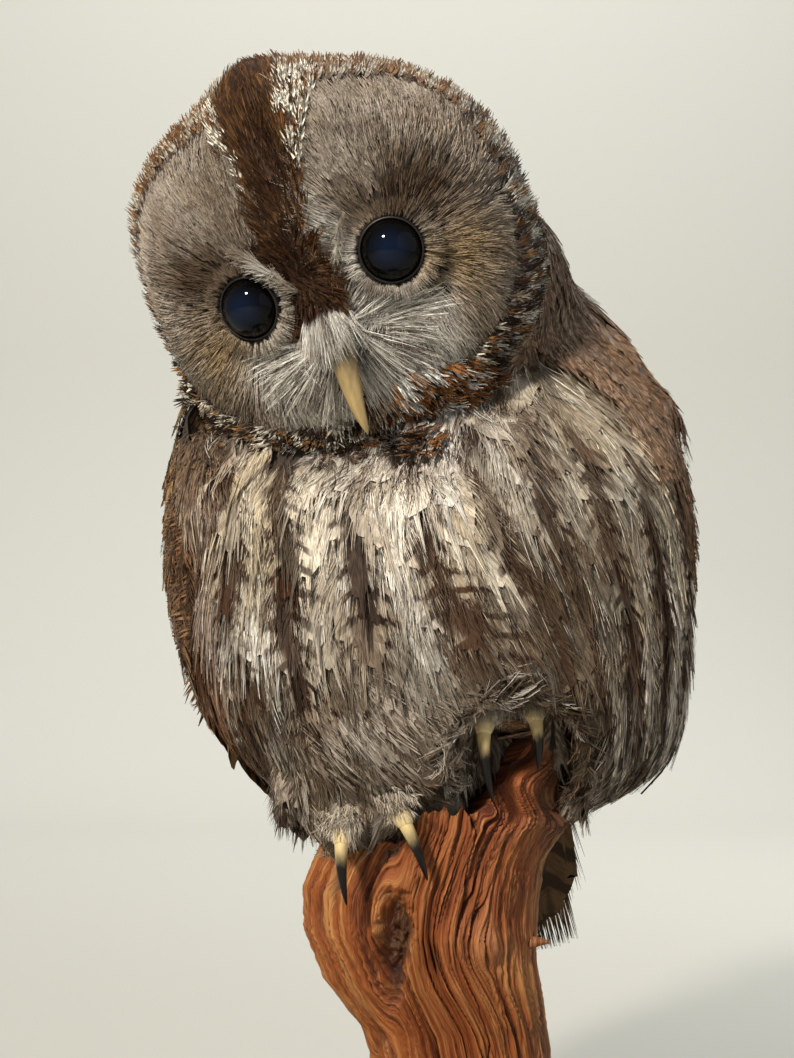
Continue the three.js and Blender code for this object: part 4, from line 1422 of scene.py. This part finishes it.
def root_surface(rows, columns):
    """Points of the root and, for its finish, where each lies in the grain."""
    rise, a = np.meshgrid(np.linspace(0, 1, rows), np.arange(columns) * 2 * math.pi / columns, indexing="ij")
    rise, a = rise.ravel(), a.ravel()
    angle = a - 0.4 * np.cos(a)  # closer columns in front
    wall = np.clip((rise - 0.03) / 0.85, 0, 1)
    inward = np.where(rise < 0.03, rise / 0.03, np.where(rise > 0.88, (1 - rise) / 0.12, 1.0))
    inward = np.maximum(inward, 0.004)
    edge_x = -1 + 31 * np.cos(angle)
    splinter = ridged(np.stack([angle * 7, 0 * angle, 0 * angle], 1), 41) - 0.6
    top = root_top(edge_x) + (1.2 + 1.2 * bell(edge_x + 2, 8)) * splinter
    z = 20.4 + (top - 20.4) * wall**0.85
    left, right = np.interp(z, *LEFT_EDGE), np.interp(z, *RIGHT_EDGE)
    centre, half = (left + right) / 2, (right - left) / 2
    x = centre + half * np.cos(angle)
    front = smooth(-np.sin(angle), 0.0, 0.5)
    grain = angle * 32
    # The grain parts round the knot and the hollow, and leans over in the left lobe.
    for spot, strength in ((KNOT, 2.5), (HOLLOW, 4.0)):
        wide = spot.get("radius", spot.get("half_width")) * 1.6
        tall = spot.get("radius", spot.get("half_height")) * 1.3
        pull = bell((x - spot["x"]) / wide, 1) * bell((z - spot["z"]) / tall, 1)
        grain = grain - strength * np.tanh((x - spot["x"]) / 2.5) * pull * front
    grain = grain + 1.5 * np.sin(z * 0.05 + 0.6) + 0.8 * np.sin(z * 0.16 + x * 0.05)
    fold = smooth(x, 8, 14) * smooth(z, 158, 166) * front
    grain = grain + fold * 5 * np.sin(z * 0.25 + x * 0.12)
    sway = layered(np.stack([grain * 0.06, z * 0.03, 0 * z], 1), 43, 3) - 0.5
    grain = grain + 3.5 * sway
    flow = np.stack([grain, z, 0 * z], 1)
    wide_ridges = ridged(flow * [0.13, 0.010, 1], 45, 2) - 0.6
    ridges = ridged(flow * [0.42, 0.022, 1], 47, 3) - 0.6
    lines = ridged(flow * [1.3, 0.05, 1], 49, 2) - 0.6
    crack_line = np.abs(layered(flow * [0.22, 0.016, 1], 51, 2) - 0.5)
    crack = bell(crack_line, 0.02) * smooth(layered(flow * [0.12, 0.035, 1], 53, 2), 0.42, 0.58)
    rough = layered(np.stack([x, z, 0 * z], 1) * 0.45, 55, 4) - 0.5
    shape_x = (x - HOLLOW["x"] - 4 * (layered(np.stack([z * 0.09, 0 * z, 0 * z], 1), 57, 2) - 0.5)) / HOLLOW["half_width"]
    hollow = bell(shape_x, 1) * bell((z - HOLLOW["z"]) / HOLLOW["half_height"], 1) ** 2 * front
    hollow = smooth(hollow + 0.5 * rough, 0.25, 0.75)
    knot = np.hypot(x - KNOT["x"], z - KNOT["z"]) / KNOT["radius"]
    knot_rings = bell(knot, 1.0) * front
    out = 3.2 * wide_ridges + 2.2 * ridges + 2.0 * lines - 4.5 * crack
    out = out * (1 - hollow) - HOLLOW["depth"] * hollow + 8.0 * rough * hollow
    out = out + knot_rings * (0.7 * np.sin(knot * 5) + 1.2) + fold * 2.5 * np.sin(grain * 0.22)
    knob = bell(np.hypot(x - KNOB["x"], z - KNOB["z"]) / KNOB["radius"], 1) * smooth(np.cos(angle), 0.6, 0.95)
    out = (out + (5.5 + 9 * rough) * knob) * smooth(wall, 0, 0.05)
    half = (half + out * (0.35 + 0.65 * np.abs(np.sin(angle)))) * inward
    depth = (half * 0.72 + 1.5 * np.cos(3 * angle + 0.02 * z)) * np.minimum(inward * 4, 1)
    points = np.stack([centre + half * np.cos(angle), 4 + depth * np.sin(angle), z], 1)
    on_top = (rise > 0.88).astype(float)
    sunk = on_top * (1 - inward) * (6 + 8 * rough)
    points[:, 2] = z - sunk
    points[:, 2] -= on_top * np.maximum(points[:, 2] - root_top(points[:, 0]), 0)
    # The relief's height goes to the finish, where it lightens ridge tops and darkens furrows as painted highlight and
    # shade.
    height = np.clip(0.5 + 0.35 * wide_ridges + 0.55 * ridges + 0.35 * lines, 0, 1)
    flow[:, 2] = height
    reddish = np.clip(fold + 0.7 * bell(x - 3, 13) * front, 0, 1)
    worn = np.clip(0.4 * knot_rings + 0.3 * on_top + smooth(x, 20, 32), 0, 1)
    # The first tone channel darkens the hollow and the cracks as painted shade, and the knob as its own darker wood.
    tone = np.stack([np.clip(hollow + 1.1 * crack + 0.5 * knob, 0, 1), reddish, worn], 1)
    return points * MM, flow, tone


ROOT_ROWS, ROOT_COLUMNS = 300, 420
points, flow, tone = root_surface(ROOT_ROWS, ROOT_COLUMNS)
root = make_mesh("root_grained", points, grid_quads(ROOT_ROWS, ROOT_COLUMNS, closed=True), {"flow": flow, "tone": tone})


def root_material():
    s = Shader("root_wood", 0.55, 0.35)
    flow, (dark, fold, worn) = s.attribute("flow"), s.parts(s.attribute("tone"))
    height = s.parts(flow)[2]
    bands = s.noise(s.scaled(flow, (0.16, 0.012, 0.0)), 1.0, 3.0, 0.6)
    lines = s.noise(s.scaled(flow, (1.1, 0.03, 0.0)), 1.0, 4.0, 0.7)
    hairs = s.noise(s.scaled(flow, (4.0, 0.10, 0.0)), 1.0, 3.0, 0.6)
    # The height share lightens ridge tops and darkens furrows: painted highlight and shade.
    tone = s.add(s.mul(bands, 0.35), s.add(s.mul(lines, 0.35), s.mul(height, 0.3)))
    tone = s.add(tone, s.mul(s.sub(hairs, 0.5), 0.35))
    wood = s.blend(s.ramp(tone, 0.34, 0.5), colour(0x4E230E), colour(0x935023))
    wood = s.blend(s.mul(s.ramp(tone, 0.49, 0.64), 0.85), wood, colour(0xC08A50))
    wood = s.blend(s.mul(s.ramp(bands, 0.5, 0.68), 0.6), wood, colour(0x8F4A1C))
    wood = s.blend(s.mul(fold, 0.6), wood, s.blend(s.ramp(tone, 0.4, 0.6), colour(0x4A1C0A), colour(0x8E4220)))
    wood = s.blend(s.mul(worn, 0.45), wood, s.blend(s.ramp(tone, 0.4, 0.6), colour(0x4A3626), colour(0xA08868)))
    # Painted shade in the hollow and cracks, and the knob's own darker wood.
    wood = s.blend(s.mul(dark, 0.85), wood, colour(0x24110A))
    s.bump(s.add(lines, s.mul(hairs, 0.9)), 0.0010, 0.8)
    return s.colour(wood)


root_wood = root_material()
finish_piece(root, "root_wood", root_wood, "root_wood")
points, quads = swept(14, 12, along_curve((24, -6, 126), (27, -8, 127), (29.2, -8.5, 126.5), lambda s: 1.5 * (1 - s) + 0.4))
twig_tone = {"flow": points / MM * [0.5, 6, 0] + [0, 0, 0.6], "tone": 0 * points + [0.2, 0.3, 0.6]}
twig = make_mesh("root_twig", points, quads, twig_tone)
finish_piece(twig, "root_wood", root_wood)


# ---------- plinth ----------
def plinth_material():
    s = Shader("plinth_wood", 0.38, 0.4)
    place = s.node("TexCoord", output=3)
    rings = s.noise(s.scaled(place, (9.0, 160.0, 160.0)), 1.0, 4.0, 0.6)
    return s.colour(s.blend(s.ramp(rings, 0.35, 0.65), colour(0x2E1A10), colour(0x6B4427)))


PLINTH_PROFILE = [(0.2, 0), (94, 0), (97, 1.2), (98, 3.2), (98, 8), (96.5, 9.6), (95.2, 11.2), (95.2, 13)]
PLINTH_PROFILE += [(94.6, 15.6), (92.6, 17.8), (89.5, 19.4), (86, 20), (40, 20), (0.2, 20)]
plinth = around_axis("stand_plinth", np.zeros(3), [0, 0, 1], PLINTH_PROFILE, 128)
finish_piece(plinth, "plinth_wood", plinth_material(), "stand_base")


# ---------- stage, light and camera ----------
def build_stage():
    """A pale floor that curves up into a pale wall."""
    bend = 0.6
    line = [(-2.5, 0.0), (1.2, 0.0)]
    line += [(1.2 + bend * math.sin(a), bend * (1 - math.cos(a))) for a in np.linspace(0.1, math.pi / 2, 12)]
    line += [(1.2 + bend, 2.6)]
    points = np.array([(x, y, z) for y, z in line for x in (-2.5, 2.5)])
    floor = make_mesh("floor", points, grid_quads(len(line), 2)[:, ::-1])
    s = Shader("stage_pale", 0.9, 0.2)
    depth = s.parts(s.node("TexCoord", output=3))[1]
    floor.data.materials.append(s.colour(s.blend(s.ramp(depth, 0.2, 1.5), colour(0xA9A8A0), colour(0xC9C9C1))))


def area_light(name, place, target, size, power, value):
    light = bpy.data.lights.new(name, "AREA")
    light.shape = "DISK"
    light.size = size
    light.energy = power
    light.color = colour(value)
    made = bpy.data.objects.new(name, light)
    made.location = place
    made.rotation_euler = (Vector(target) - Vector(place)).to_track_quat("-Z", "Y").to_euler()
    bpy.context.scene.collection.objects.link(made)


OWL_MIDDLE = (0, 0, 0.25)
build_stage()
area_light("key", (-0.65, -1.05, 1.05), OWL_MIDDLE, 0.16, 28, 0xFFF6EA)
area_light("fill", (1.3, -1.0, 0.6), OWL_MIDDLE, 2.4, 6, 0xE8F0FF)
area_light("rim", (0.7, 0.7, 1.0), OWL_MIDDLE, 0.5, 8, 0xFFFFFF)
area_light("wall", (0.0, 0.4, 2.2), (0.0, 1.7, 0.7), 1.2, 34, 0xFFFFFF)
world = bpy.data.worlds.new("studio")
world.use_nodes = True
world.node_tree.nodes["Background"].inputs["Color"].default_value = [*colour(0xF2F0EC), 1.0]
world.node_tree.nodes["Background"].inputs["Strength"].default_value = 0.28
bpy.context.scene.world = world
bpy.context.scene.view_settings.view_transform = "Standard"

camera_data = bpy.data.cameras.new("camera")
camera_data.sensor_fit = "VERTICAL"
camera_data.sensor_height = 36
camera_data.lens = 36 * 1590 / 1058
camera = bpy.data.objects.new("camera", camera_data)
camera.location = (-0.0145, -0.470, 0.220)
camera.rotation_euler = (math.radians(90 + 3.13), 0, 0)
bpy.context.scene.collection.objects.link(camera)
bpy.context.scene.camera = camera
